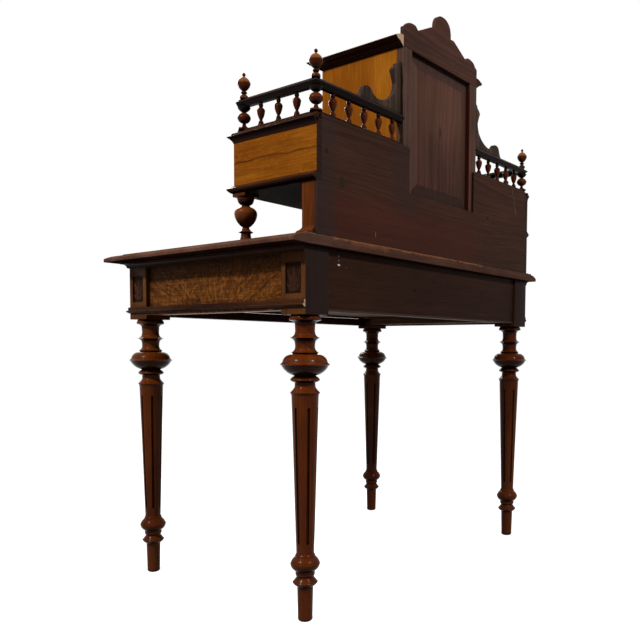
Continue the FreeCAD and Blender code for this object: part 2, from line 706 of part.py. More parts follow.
def makeSmallDrawer(label, side):
    name = "small_drawer_" + label
    gap = size.smallGap
    floorTop = size.deskHeight + size.boxRise + size.boxFloorThick
    low = floorTop + gap
    high = floorTop + size.boxWallHigh - size.boxCorniceDrop - gap
    xs = span(side, size.cabinetHalf + gap, size.upperHalf - size.boxSideThick - gap)
    face = boxFront
    back = face + size.smallFrontThick
    node(board(name + "_front", xs, (face, back), (low, high)), name + "_front")
    makeTray(name + "_tray", (xs[0] + gap, xs[1] - gap), (back, panelFront - size.smallBackGap),
             (low, high - size.smallSideDrop), size.smallSideThick, size.smallFloorThick,
             size.smallFloorRise)
    knob = makeKnob(name, (xs[0] + xs[1]) / 2, face, (low + high) / 2)
    node(knob, name + "_knob")


def makeSupports(label, side):
    # ball column under the front corner, moulded strip post under the back one
    x = (size.upperHalf - size.columnInset) * side
    y = boxFront + size.columnSetback
    under = size.boxRise
    half = size.abacusWide / 2
    neck = (size.columnNeckRadius, under - size.abacusHigh)
    column = turned(f"column_{label}_turning", "column", [neck])
    place(column, x, y, size.deskHeight)
    abacus = board(f"column_{label}_abacus", (x - half, x + half), (y - half, y + half),
                   (size.deskHeight + under - size.abacusHigh, size.deskHeight + under))
    node(joined("Part::Fuse", "ball_column_" + label, column, [abacus]), "ball_column_" + label)
    makeRearPost("rear_post_" + label, (size.upperHalf - size.rearPostWide / 2) * side)


def makeRearPost(name, middle):
    # strip post with a moulded foot on three faces, from two profiles that cross
    top, reach = size.boxRise, size.plinthFootAcross
    half, deep = size.rearPostWide / 2, size.rearPostDeep
    edge = stations("plinth") + [(0, top, 0)]
    right = [(half + out, high, swell) for out, high, swell in edge]
    across = prism(name + "_across", "XZ_Plane", right + mirroredIf(True, right), deep + reach)
    place(across, middle, panelFront, size.deskHeight)
    front = mirroredIf(True, [(deep + out, high, swell) for out, high, swell in edge])
    along = prism(name + "_along", "YZ_Plane", front + [(0, 0), (0, top)], (half + reach) * 2)
    place(along, middle - half - reach, panelFront, size.deskHeight)
    post = document.addObject("Part::Common", name)
    post.Base = across
    post.Tool = along
    node(post, name)


def makeBalustrade():
    axisX = size.upperHalf - size.galleryInset
    frontAxis = boxFront + size.gallerySetback
    backAxis = panelBack - size.rearAxisInset
    base = size.deskHeight + size.boxRise + size.boxFloorThick + size.boxWallHigh
    base = base + size.boxTopThick
    corners = [(axisX * side, y) for label, side in sides for y in (frontAxis, backAxis)]
    copies("gallery_posts", turned("gallery_post", "post"), corners, base)
    railTop = base + size.railUnder + size.railTopHigh
    copies("gallery_finials", turned("gallery_finial", "finial"), corners, railTop)
    spots = []
    count = int(size.sideBalusters.value)
    for i in range(1, count + 1):
        y = frontAxis + (backAxis - frontAxis) * (i / (count + 1))
        spots += [(axisX * side, y) for label, side in sides]
    count = int(size.backBalusters.value)
    near = size.cabinetHalf + size.backBalusterMargin
    for i in range(count):
        x = near + (axisX - near) * (i / count)
        spots += [(x * side, backAxis) for label, side in sides]
    copies("gallery_balusters", turned("gallery_baluster", "baluster"), spots, base)
    foot = base + size.railUnder
    nose = size.railNoseAcross
    edge = [(out, foot + high, swell) for out, high, swell in stations("rail")]
    section = edge + mirroredIf(True, edge)
    for label, side in sides:
        along = prism(f"gallery_rail_side_{label}", "XZ_Plane", section,
                      backAxis + nose - (frontAxis - nose))
        place(along, axisX * side, backAxis + nose, 0)
        across = prism(f"gallery_rail_back_{label}", "YZ_Plane", section,
                       axisX + nose - size.cabinetHalf)
        place(across, size.cabinetHalf if side > 0 else -axisX - nose, backAxis, 0)
        plan = [(0, backAxis), (axisX, backAxis), (axisX + nose, backAxis + nose),
                (axisX + nose, frontAxis - nose * 2), (0, frontAxis - nose * 2)]
        if side < 0:
            plan = [(-x, y) for x, y in reversed(plan)]
        mask = prism(f"gallery_rail_mitre_{label}", "XY_Plane", plan, railTop)
        sideRail = document.addObject("Part::Common", "gallery_side_piece_" + label)
        sideRail.Base = along
        sideRail.Tool = mask
        mask = prism(f"gallery_rail_mask_{label}", "XY_Plane", plan, railTop)
        backRail = joined("Part::Cut", "gallery_back_piece_" + label, across, [mask])
        node(group("gallery_rails_" + label, [sideRail, backRail]), "gallery_rails_" + label)
        makeBracket(label, side, railTop, backAxis)


def makeBracket(label, side, foot, axisY):
    # fretted wing between the cabinet and the balustrade rail
    edge = size.cabinetHalf
    points = [(edge, foot)]
    points += [(edge + across, foot + high, swell) for across, high, swell in stations("bracket")]
    body = prism("wing_bracket_" + label, "XZ_Plane", mirroredIf(side < 0, points),
                 size.bracketThick)
    face = axisY + size.bracketThick / 2 - size.bracketSetback
    node(place(body, 0, face, 0), "wing_bracket_" + label)


def mirroredIf(flip, points):
    # the outline's mirror image in x, still anticlockwise, each swell on its own stretch
    full = [(p[0], p[1], p[2] if len(p) > 2 else 0) for p in points]
    if not flip:
        return full
    count = len(full)
    swells = [full[(i + 1) % count][2] for i in range(count)]
    return [(-full[i][0], full[i][1], swells[i]) for i in reversed(range(count))]


def copies(name, master, spots, z):
    # equal turnings, set up at each place as solids of one group
    document.recompute()
    shapes = [master.Shape.translated(Vector(asDim(x).value, asDim(y).value, 0)) for x, y in spots]
    whole = document.addObject("Part::Feature", name)
    whole.Shape = Part.makeCompound(shapes)
    node(place(whole, 0, 0, z), name)


def fieldedPanel(name, xs, ys, zs, groove, bevel, drop, show):
    # panel with a raised field: two bevelled sections that cross; show is the field's side
    low, high = ys
    flat, field = (low, high) if show > 0 else (high, low)
    tongue = field - drop * show

    def section(ends):
        a, b = ends
        points = [
            (a, flat), (b, flat), (b, tongue), (b - groove, tongue),
            (b - groove - bevel, field), (a + groove + bevel, field),
            (a + groove, tongue), (a, tongue),
        ]
        return points if show > 0 else points[::-1]

    plan = prism(name + "_plan", "XY_Plane", section(xs), zs[1] - zs[0])
    place(plan, 0, 0, zs[0])
    sideways = [(y, z) for z, y in reversed(section(zs))]
    profile = prism(name + "_profile", "YZ_Plane", sideways, xs[1] - xs[0])
    place(profile, xs[0], 0, 0)
    panel = document.addObject("Part::Common", name)
    panel.Base = plan
    panel.Tool = profile
    return panel


def framePieces(name, xs, ys, zs, stile, rails, tongue):
    # two stiles with two rails between them, each rebated for the panel's tongue
    rebate = board(name + "_rebate", *tongue)
    lowRail, highRail = rails
    parts = [
        ("stile_low", (xs[0], xs[0] + stile), zs),
        ("stile_high", (xs[1] - stile, xs[1]), zs),
        ("rail_low", (xs[0] + stile, xs[1] - stile), (zs[0], zs[0] + lowRail)),
        ("rail_high", (xs[0] + stile, xs[1] - stile), (zs[1] - highRail, zs[1])),
    ]
    pieces = []
    for label, across, up in parts:
        blank = board(f"{name}_{label}_blank", across, ys, up)
        pieces.append(joined("Part::Cut", f"{name}_{label}", blank, [rebate]))
    return pieces


def makeCabinetBack():
    half, groove = size.cabinetHalf, size.panelGroove
    foot = size.deskHeight + size.notchRise - size.backRailHigh
    opening = size.deskHeight + size.notchRise
    top = size.deskHeight + size.cabinetHigh
    crestFoot = top - size.crestRailDrop
    face, back = panelFront, panelFront - size.backFrameThick
    inner = half - size.stileWide
    panelXs = (-inner - groove, inner + groove)
    panelZs = (opening - groove, crestFoot + groove)
    panelYs = (back, back + size.panelThick)
    room = size.joinClearance
    rebateYs = (back, back + size.panelThick - size.panelBevelDrop + room)
    rebate = board("back_frame_rebate", (panelXs[0] - room, panelXs[1] + room), rebateYs,
                   (panelZs[0] - room, panelZs[1] + room))
    blanks = [
        board("back_stile_blank_left", (-half, -inner), (back, face), (foot, crestFoot)),
        board("back_stile_blank_right", (inner, half), (back, face), (foot, crestFoot)),
        board("back_rail_blank", (-inner, inner), (back, face), (foot, opening)),
    ]
    line = [(half, crestFoot)]
    line += [(half - inset, top + high, swell) for inset, high, swell in stations("crestEnd")]
    line += [(across, top + high, swell) for across, high, swell in stations("crestHeart")]
    full = line + mirroredIf(True, line)[1:]
    crest = prism("back_crest_blank", "XZ_Plane", full, size.backFrameThick)
    place(crest, 0, face, 0)
    # the crest is thinned behind, down to the top of the cabinet
    crestHigh = size.crestHeartTipHigh + size.crestHeartTipSwell
    relief = board("crest_relief", (-half, half), (back, back + size.crestRelief),
                   (top, top + crestHigh))
    pieces = [joined("Part::Cut", f"back_frame_piece_{i}", blank, [rebate])
              for i, blank in enumerate(blanks)]
    pieces.append(joined("Part::Cut", "back_frame_crest", crest, [rebate, relief]))
    node(group("cabinet_back_frame", pieces), "cabinet_back_frame")
    panel = fieldedPanel("cabinet_back_panel", panelXs, panelYs, panelZs, groove,
                         size.panelBevel, size.panelBevelDrop, 1)
    node(panel, "cabinet_back_panel")


def makeCabinet():
    half, thick = size.cabinetHalf, size.cabinetSideThick
    inner = half - thick
    back = panelFront - size.backFrameThick
    foot = size.deskHeight
    top = foot + size.cabinetHigh
    ceiling = top - size.cabinetTopThick
    for label, side in sides:
        node(board("cabinet_side_" + label, span(side, inner, half), (cabinetFront, back),
                   (foot, top)), "cabinet_side_" + label)
    across = (-inner, inner)
    deep = (cabinetFront, back)
    node(board("cabinet_floor", across, deep, (foot, foot + size.cabinetFloorThick)),
         "cabinet_floor")
    node(board("cabinet_top", across, deep, (ceiling, top)), "cabinet_top")
    shelfFoot = foot + size.shelfRise
    node(board("cabinet_shelf", across, (cabinetFront + size.shelfSetback, back),
               (shelfFoot, shelfFoot + size.shelfThick)), "cabinet_shelf")
    makeCabinetBack()
    cornice = moulding("cornice", 0, top - size.corniceDeckHigh, top)
    strips = mouldingRun("cornice", cornice, size.corniceNoseAcross, top,
                         (half, cabinetFront, panelFront))
    node(group("cabinet_cornice", strips), "cabinet_cornice")


def makeDoor():
    gap, thick = size.doorGap, size.doorThick
    inner = size.cabinetHalf - size.cabinetSideThick
    low = size.deskHeight + size.cabinetFloorThick + gap
    high = size.deskHeight + size.cabinetHigh - size.cabinetTopThick - gap
    xs, ys, zs = (-inner + gap, inner - gap), (cabinetFront, cabinetFront + thick), (low, high)
    groove, room = size.doorGroove, size.joinClearance
    panelXs = (xs[0] + size.doorStile - groove, xs[1] - size.doorStile + groove)
    panelZs = (low + size.doorRail - groove, high - size.doorRail + groove)
    panelFace = cabinetFront + size.doorPanelSink
    panelYs = (panelFace, panelFace + size.doorPanelThick)
    rebateYs = (panelFace + size.panelBevelDrop - room, cabinetFront + thick)
    tongue = ((panelXs[0] - room, panelXs[1] + room), rebateYs,
              (panelZs[0] - room, panelZs[1] + room))
    pieces = framePieces("door_frame", xs, ys, zs, size.doorStile,
                         (size.doorRail, size.doorRail), tongue)
    node(group("door_frame", pieces), "door_frame")
    node(fieldedPanel("door_panel", panelXs, panelYs, panelZs, groove, size.panelBevel,
                      size.panelBevelDrop, -1), "door_panel")
    knob = makeKnob("door", xs[1] - size.doorStile / 2, cabinetFront, (low + high) / 2)
    node(knob, "door_knob")
    makeHinges(low, high)


def makeHinges(low, high):
    # two lift-off hinges: the fixed half carries the pin, the door's half drops over it
    axisX = -(size.cabinetHalf - size.cabinetSideThick) + size.doorGap / 2
    axisY = cabinetFront - size.hingeRadius
    half = size.hingeHigh / 2
    leafYs = (cabinetFront - size.hingeLeafThick, cabinetFront)
    fixed, moving = [], []
    for i, foot in enumerate((low + size.hingeMargin, high - size.hingeMargin - size.hingeHigh)):
        middle = foot + half
        lower = cylinder(f"hinge_lower_{i}", size.hingeRadius, half, axisX, axisY, foot)
        pin = cylinder(f"hinge_pin_{i}", size.hingePinRadius, size.hingeHigh, axisX, axisY, foot)
        leaf = board(f"hinge_leaf_fixed_{i}", (axisX - size.hingeLeafWide, axisX), leafYs,
                     (foot, middle))
        fixed.append(joined("Part::Fuse", f"hinge_fixed_{i}", lower, [pin, leaf]))
        start = middle + size.hingeEndGap
        upper = cylinder(f"hinge_upper_{i}", size.hingeRadius, half, axisX, axisY, start)
        leaf = board(f"hinge_leaf_moving_{i}", (axisX, axisX + size.hingeLeafWide), leafYs,
                     (start, start + half))
        blank = joined("Part::Fuse", f"hinge_blank_{i}", upper, [leaf])
        bore = cylinder(f"hinge_bore_{i}", size.hingePinRadius + size.hingeFit, half, axisX,
                        axisY, start)
        moving.append(joined("Part::Cut", f"hinge_moving_{i}", blank, [bore]))
    node(group("door_hinge_pins", fixed), "door_hinge_pins")
    node(group("door_hinge_leaves", moving), "door_hinge_leaves")


def cylinder(name, radius, high, x, y, z):
    rod = document.addObject("Part::Cylinder", name)
    bind(rod, "Radius", radius)
    bind(rod, "Height", high)
    return place(rod, x, y, z)


def writeParts():
    document.recompute()
    for thing in document.Objects:
        if {"Invalid", "Error"} & set(thing.State):
            raise RuntimeError(f"{thing.Name} did not build: {thing.State}")
    os.makedirs("parts", exist_ok=True)
    for piece in nodes:
        shape = piece.Shape
        if shape.isNull() or not shape.isValid():
            raise RuntimeError(f"{piece.Label} has no valid shape")
        shape.exportStep(f"parts/{piece.Label}.step")


# faces of the upper part and heights of the front rails
topBack = carcassBack + size.topBackOverhang
panelBack = topBack - size.backPanelInset
panelFront = panelBack - size.backPanelThick
boxFront = carcassFront + size.boxFrontInset
cabinetFront = carcassFront + size.cabinetFrontInset
railLowTop = apronFoot + size.railLowHigh
railHighFoot = topUnder - size.railHighHigh

makeBase()
makeDeskDrawer()
makeBackPanel()
for label, side in sides:
    makeBox(label, side)
    makeSmallDrawer(label, side)
    makeSupports(label, side)
makeBalustrade()
makeCabinet()
makeDoor()
writeParts()
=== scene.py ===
import math
import bmesh
import bpy
from mathutils import Matrix, Vector, noise


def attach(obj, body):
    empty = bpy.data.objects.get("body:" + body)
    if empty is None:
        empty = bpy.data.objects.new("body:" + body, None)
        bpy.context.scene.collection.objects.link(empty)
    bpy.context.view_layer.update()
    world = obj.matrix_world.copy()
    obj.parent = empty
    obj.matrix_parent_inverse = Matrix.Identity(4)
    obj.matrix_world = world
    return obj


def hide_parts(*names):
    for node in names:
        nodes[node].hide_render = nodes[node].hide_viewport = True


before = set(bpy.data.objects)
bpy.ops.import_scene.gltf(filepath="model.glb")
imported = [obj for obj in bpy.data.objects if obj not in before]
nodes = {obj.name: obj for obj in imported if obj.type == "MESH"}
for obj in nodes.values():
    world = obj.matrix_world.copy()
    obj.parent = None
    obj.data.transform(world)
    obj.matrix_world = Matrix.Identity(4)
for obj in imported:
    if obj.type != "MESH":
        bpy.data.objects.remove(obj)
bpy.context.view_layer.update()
scene = bpy.context.scene
mm = 0.001
sides = (("left", -1), ("right", 1))


def feedAll(tree, sockets, values):
    # each socket, by label or place, takes another node's output, a plain value, or nothing
    for label, value in values.items():
        if isinstance(value, bpy.types.NodeSocket):
            tree.links.new(value, sockets[label])
        elif value is not None:
            sockets[label].default_value = value
    return tree


def newNode(tree, kind, inputs=None, **settings):
    made = tree.nodes.new(kind)
    for name, value in settings.items():
        setattr(made, name, value)
    feedAll(tree, made.inputs, inputs or {})
    return made


def mathNode(tree, operation, *values):
    return newNode(tree, "ShaderNodeMath", dict(enumerate(values)), operation=operation).outputs[0]


def times(tree, first, second):
    return mathNode(tree, "MULTIPLY", first, second)


def minus(tree, first, second):
    return mathNode(tree, "SUBTRACT", first, second)


def scaled(tree, value, factor, start):
    # value times factor, and start added to it
    return mathNode(tree, "MULTIPLY_ADD", value, factor, start)


def distance(tree, first, second):
    return mathNode(tree, "ABSOLUTE", minus(tree, first, second))


def mixColour(tree, factor, first, second):
    first, second = ((*value, 1) if isinstance(value, tuple) else value for value in (first, second))
    return newNode(tree, "ShaderNodeMix", {0: factor, 6: first, 7: second},
                   data_type="RGBA").outputs[2]


def rampNode(tree, factor, stops):
    made = newNode(tree, "ShaderNodeValToRGB", {0: factor})
    elements = made.color_ramp.elements
    while len(elements) < len(stops):
        elements.new(0.5)
    for element, (place, colour) in zip(elements, stops):
        element.position = place
        element.color = (*colour, 1) if isinstance(colour, tuple) else (colour, colour, colour, 1)
    return made.outputs[0]


def noiseNode(tree, vector, scale=1.0, detail=3, rough=0.5, distortion=0.0):
    return newNode(tree, "ShaderNodeTexNoise", {
        "Vector": vector, "Scale": scale, "Detail": detail, "Roughness": rough,
        "Distortion": distortion}).outputs[0]


def lineNoise(tree, place, detail, rough):
    # noise along one line: streaks of uneven width
    return newNode(tree, "ShaderNodeTexNoise", {
        "W": place, "Scale": 1, "Detail": detail, "Roughness": rough},
        noise_dimensions="1D").outputs[0]


def stretched(tree, vector, scales):
    return newNode(tree, "ShaderNodeVectorMath", {0: vector, 1: scales},
                   operation="MULTIPLY").outputs[0]


def streaked(tree, vector, scales, detail=3, rough=0.5, distortion=0.0):
    # noise drawn out along the axes whose scales are small
    return noiseNode(tree, stretched(tree, vector, scales), 1, detail, rough, distortion)


def axesOf(tree, vector):
    return newNode(tree, "ShaderNodeSeparateXYZ", {0: vector}).outputs


def newTree(kind, name, inputs, outputs, outputKind="Float"):
    # inputs are (label, kind of socket) and perhaps a value to begin with
    tree = bpy.data.node_groups.new(name, kind)
    for label, socketKind, *value in inputs:
        socket = tree.interface.new_socket(label, in_out="INPUT",
                                           socket_type="NodeSocket" + socketKind)
        if value:
            socket.default_value = value[0]
    for label in outputs:
        tree.interface.new_socket(label, in_out="OUTPUT", socket_type="NodeSocket" + outputKind)
    return tree, newNode(tree, "NodeGroupInput").outputs, newNode(tree, "NodeGroupOutput").inputs


def buildGrainGroup():
    # long grain along X: growth streaks, thin late-wood lines, fibres, pores and slow clouds
    tree, get, leave = newTree("ShaderNodeTree", "woodGrain", [
        ("Vector", "Vector"), ("Streaks per Metre", "Float", 90.0), ("Swirl", "Float", 2.0),
        ("Cathedral", "Float", 0.0)], ("Streaks", "Lines", "Fibres", "Pores", "Cloud"))
    vector = get["Vector"]
    axes = axesOf(tree, vector)
    slow = streaked(tree, vector, (2.2, 8, 8), 2)
    arch = streaked(tree, vector, (1.5, 9, 9), 1, 0.4)
    across = scaled(tree, axes[2], 0.71, axes[1])
    straight = times(tree, across, get["Streaks per Metre"])
    bend = scaled(tree, slow, get["Swirl"], straight)
    place = scaled(tree, arch, get["Cathedral"], bend)
    ridge = distance(tree, lineNoise(tree, times(tree, place, 2.3), 2, 0.5), 0.5)
    broken = streaked(tree, vector, (5, 60, 60), 2)
    short = streaked(tree, vector, (60, 1100, 1100), 2)
    return feedAll(tree, leave, {
        "Streaks": lineNoise(tree, place, 4, 0.68),
        "Lines": times(tree, rampNode(tree, ridge, [(0.0, 1.0), (0.045, 0.0)]),
                       rampNode(tree, broken, [(0.40, 0.0), (0.62, 1.0)])),
        "Fibres": streaked(tree, vector, (16, 460, 460), 4, 0.62, 0.1),
        "Pores": rampNode(tree, short, [(0.30, 1.0), (0.40, 0.0)]),
        "Cloud": streaked(tree, vector, (2.6, 7, 7), 3, 0.6, 0.4)})


def buildFeatherGroup():
    # crotch figure: streaks that fan out of one point in the YZ plane, with ripples across
    tree, get, leave = newTree("ShaderNodeTree", "featherFigure", [
        ("Vector", "Vector"), ("Fan", "Float", 26.0)], ("Feather", "Ripple"))
    vector = get["Vector"]
    along, up = axesOf(tree, vector)[1:3]
    warp = streaked(tree, vector, (8, 8, 5), 3, 0.55)
    shift = scaled(tree, minus(tree, warp, 0.5), 0.09, along)
    angle = mathNode(tree, "ARCTAN2", shift, up)
    square = mathNode(tree, "ADD", times(tree, along, along), times(tree, up, up))
    length = mathNode(tree, "SQRT", square)
    fan = newNode(tree, "ShaderNodeCombineXYZ", {
        0: times(tree, angle, get["Fan"]), 1: times(tree, length, 7)})
    return feedAll(tree, leave, {
        "Feather": noiseNode(tree, fan.outputs[0], 1, 5, 0.62, 0.35),
        "Ripple": streaked(tree, vector, (45, 60, 42), 3, 0.6, 1.8)})


def buildWearAndShadeGroup():
    # rubbed arrises from a softened normal against the true one, painted shade that darkens corners
    # and recesses by ambient occlusion, and painted shade on faces that look down
    tree, get, leave = newTree("ShaderNodeTree", "edgeWear", [
        ("Vector", "Vector"), ("Reach", "Float", 0.0016), ("Amount", "Float", 0.6)],
        ("Wear", "Dirt", "Scuffs", "Under"))
    vector = get["Vector"]
    softened = newNode(tree, "ShaderNodeBevel", {"Radius": get["Reach"]}, samples=4)
    normal = newNode(tree, "ShaderNodeNewGeometry").outputs["Normal"]
    dot = newNode(tree, "ShaderNodeVectorMath", {0: softened.outputs[0], 1: normal},
                  operation="DOT_PRODUCT")
    edge = rampNode(tree, dot.outputs["Value"], [(0.72, 1.0), (0.97, 0.0)])
    patchy = rampNode(tree, noiseNode(tree, vector, 60, 4, 0.65), [(0.42, 0.0), (0.62, 1.0)])
    corner = newNode(tree, "ShaderNodeAmbientOcclusion", {"Distance": 0.012}, samples=4)
    rub = streaked(tree, vector, (40, 40, 90), 4, 0.7, 0.5)
    level = scaled(tree, axesOf(tree, normal)[2], 0.5, 0.5)
    return feedAll(tree, leave, {
        "Wear": times(tree, times(tree, edge, patchy), get["Amount"]),
        "Dirt": rampNode(tree, corner.outputs["AO"], [(0.40, 1.0), (0.90, 0.0)]),
        "Scuffs": rampNode(tree, rub, [(0.66, 0.0), (0.74, 1.0)]),
        "Under": rampNode(tree, level, [(0.10, 1.0), (0.42, 0.0)])})


grainGroup = buildGrainGroup()
featherGroup = buildFeatherGroup()
wearAndShadeGroup = buildWearAndShadeGroup()

grainTurns = {"X": (0, 0, 0), "Y": (0, 0, math.pi / 2), "Z": (0, math.pi / 2, 0)}

# colours are what the wood reflects, dark to light; figure, mottle and fibre say how much the
# streaks, the clouds and the fine fibres move it between them; the amounts after wear darken
# corners and faces that look down, painted shade; commonWood is what a wood has where its own
# line says nothing else
commonWood = dict(streaks=170, swirl=1.5, cathedral=0, figure=0.4, mottle=0.9, fibre=0.8, lines=0.3,
                  rough=0.55, shine=0.022, wear=0.15, cornerShade=0.7, under=0)
woods = {
    "polished": dict(dark=(0.046, 0.0072, 0.0009), mid=(0.098, 0.0185, 0.0019),
        light=(0.150, 0.040, 0.0062), worn=(0.30, 0.12, 0.04), swirl=1.2, figure=0.3, fibre=0.35,
        lines=0.05, rough=0.16, shine=0.036, wear=0.2, cornerShade=0.9, under=0.7),
    "moulding": dict(dark=(0.018, 0.0052, 0.0022), mid=(0.048, 0.0150, 0.0062),
        light=(0.095, 0.033, 0.014), worn=(0.20, 0.085, 0.04), fibre=0.5, lines=0.15, rough=0.3,
        shine=0.016, wear=0.4, cornerShade=0.9, under=0.5),
    "ebonised": dict(dark=(0.007, 0.004, 0.0034), mid=(0.020, 0.0115, 0.0098),
        light=(0.046, 0.027, 0.022), worn=(0.13, 0.06, 0.035), figure=0.7, rough=0.32, shine=0.02,
        wear=0.5, cornerShade=0.9),
    "veneer": dict(dark=(0.150, 0.037, 0.0028), mid=(0.236, 0.0675, 0.0042),
        light=(0.38, 0.130, 0.0090), worn=(0.42, 0.2, 0.07), streaks=260, swirl=3.0, cathedral=0.7,
        figure=0.25, fibre=0.6, lines=0.1, rough=0.4, shine=0.012, cornerShade=0.6),
    "warmVeneer": dict(dark=(0.065, 0.014, 0.003), mid=(0.112, 0.027, 0.0055),
        light=(0.20, 0.058, 0.013), worn=(0.3, 0.13, 0.05), streaks=120, mottle=0.8, fibre=0.9,
        lines=0.15, rough=0.36, shine=0.015),
    "figured": dict(dark=(0.034, 0.0098, 0.0026), mid=(0.122, 0.0385, 0.0074),
        light=(0.28, 0.098, 0.018), worn=(0.3, 0.14, 0.05), streaks=90, swirl=4, cathedral=2,
        figure=0.9, fibre=0.7, lines=0.4, rough=0.34, shine=0.015),
    "postFrame": dict(dark=(0.028, 0.010, 0.0035), mid=(0.096, 0.032, 0.0098),
        light=(0.135, 0.052, 0.016), worn=(0.25, 0.12, 0.05), streaks=150, lines=0.15, rough=0.34,
        shine=0.015, wear=0.25, cornerShade=0.8),
    "backStain": dict(dark=(0.028, 0.0125, 0.0085), mid=(0.045, 0.0197, 0.0125),
        light=(0.068, 0.029, 0.018), worn=(0.20, 0.085, 0.04), streaks=95, swirl=3.5, cathedral=2.0,
        figure=0.6, mottle=0.8, lines=0.35, rough=0.6, wear=0.3),
    "apronStain": dict(dark=(0.016, 0.0062, 0.0038), mid=(0.026, 0.0105, 0.0062),
        light=(0.040, 0.0165, 0.0095), worn=(0.14, 0.06, 0.03), streaks=95, swirl=3, cathedral=1.5,
        figure=0.5, fibre=0.7, wear=0.2, cornerShade=0.8),
    "frameStain": dict(dark=(0.046, 0.023, 0.016), mid=(0.080, 0.042, 0.030),
        light=(0.12, 0.066, 0.048), worn=(0.24, 0.12, 0.075), streaks=110, swirl=2.5, cathedral=1.2,
        figure=0.7, mottle=1.0, lines=0.35, wear=0.35),
    "crestStain": dict(dark=(0.036, 0.0165, 0.0125), mid=(0.064, 0.026, 0.0185),
        light=(0.092, 0.040, 0.029), worn=(0.2, 0.1, 0.065), streaks=95, swirl=3.5, cathedral=2.0,
        figure=0.7, mottle=1.0, fibre=0.7, lines=0.35, wear=0.3),
    "wingStain": dict(dark=(0.017, 0.0100, 0.0075), mid=(0.042, 0.0265, 0.0195),
        light=(0.085, 0.050, 0.034), worn=(0.22, 0.16, 0.13), streaks=110, swirl=2.5, figure=0.6,
        mottle=1.4, rough=0.42, shine=0.015, wear=0.5, cornerShade=0.9),
    "panelStain": dict(dark=(0.045, 0.021, 0.0155), mid=(0.078, 0.034, 0.0235),
        light=(0.118, 0.054, 0.038), worn=(0.22, 0.11, 0.065), streaks=75, swirl=4, cathedral=4,
        figure=0.9, mottle=1.0, fibre=0.7, lines=0.4, wear=0.3),
    "lining": dict(dark=(0.06, 0.032, 0.016), mid=(0.15, 0.085, 0.042), light=(0.25, 0.155, 0.08),
        worn=(0.4, 0.28, 0.16), streaks=60, swirl=3, cathedral=4, figure=0.8, mottle=0.8, fibre=0.7,
        lines=0.4, rough=0.7, shine=0.06, cornerShade=0.5),
    "rubbedEdge": dict(dark=(0.042, 0.0175, 0.0105), mid=(0.105, 0.046, 0.030),
        light=(0.180, 0.086, 0.058), worn=(0.20, 0.085, 0.04), fibre=0.6, lines=0.15, rough=0.6,
        shine=0.0, wear=0.4, cornerShade=0.9, under=0.5),
    # its full wear lightens the leaves' raised edges, partly a painted highlight, and its full corner
    # amount is painted shade between them
    "carving": dict(dark=(0.016, 0.0052, 0.0030), mid=(0.052, 0.0195, 0.0100),
        light=(0.110, 0.046, 0.022), worn=(0.22, 0.10, 0.05), streaks=150, fibre=0.6, lines=0.1,
        rough=0.36, shine=0.02, wear=1.0, cornerShade=1.0),
    "underside": dict(dark=(0.009, 0.0078, 0.0075), mid=(0.020, 0.0175, 0.0165),
        light=(0.036, 0.032, 0.030), worn=(0.12, 0.08, 0.05), streaks=95, swirl=2.5, cathedral=2,
        figure=0.8, mottle=0.8, fibre=0.7, rough=0.6, shine=0.03, cornerShade=0.5),
    "freshCut": dict(dark=(0.36, 0.20, 0.12), mid=(0.50, 0.32, 0.20), light=(0.66, 0.47, 0.32),
        worn=(0.7, 0.5, 0.35), streaks=160, swirl=1, figure=0.6, lines=0.2, rough=0.7, shine=0.05,
        wear=0.1, cornerShade=0.5),
}
nearBlack = (0.005, 0.0028, 0.002)


def newMaterial(name):
    material = bpy.data.materials.new(name)
    material.use_nodes = True
    tree = material.node_tree
    return material, tree, tree.nodes["Principled BSDF"].inputs


def objectPlace(tree):
    return newNode(tree, "ShaderNodeTexCoord").outputs["Object"]


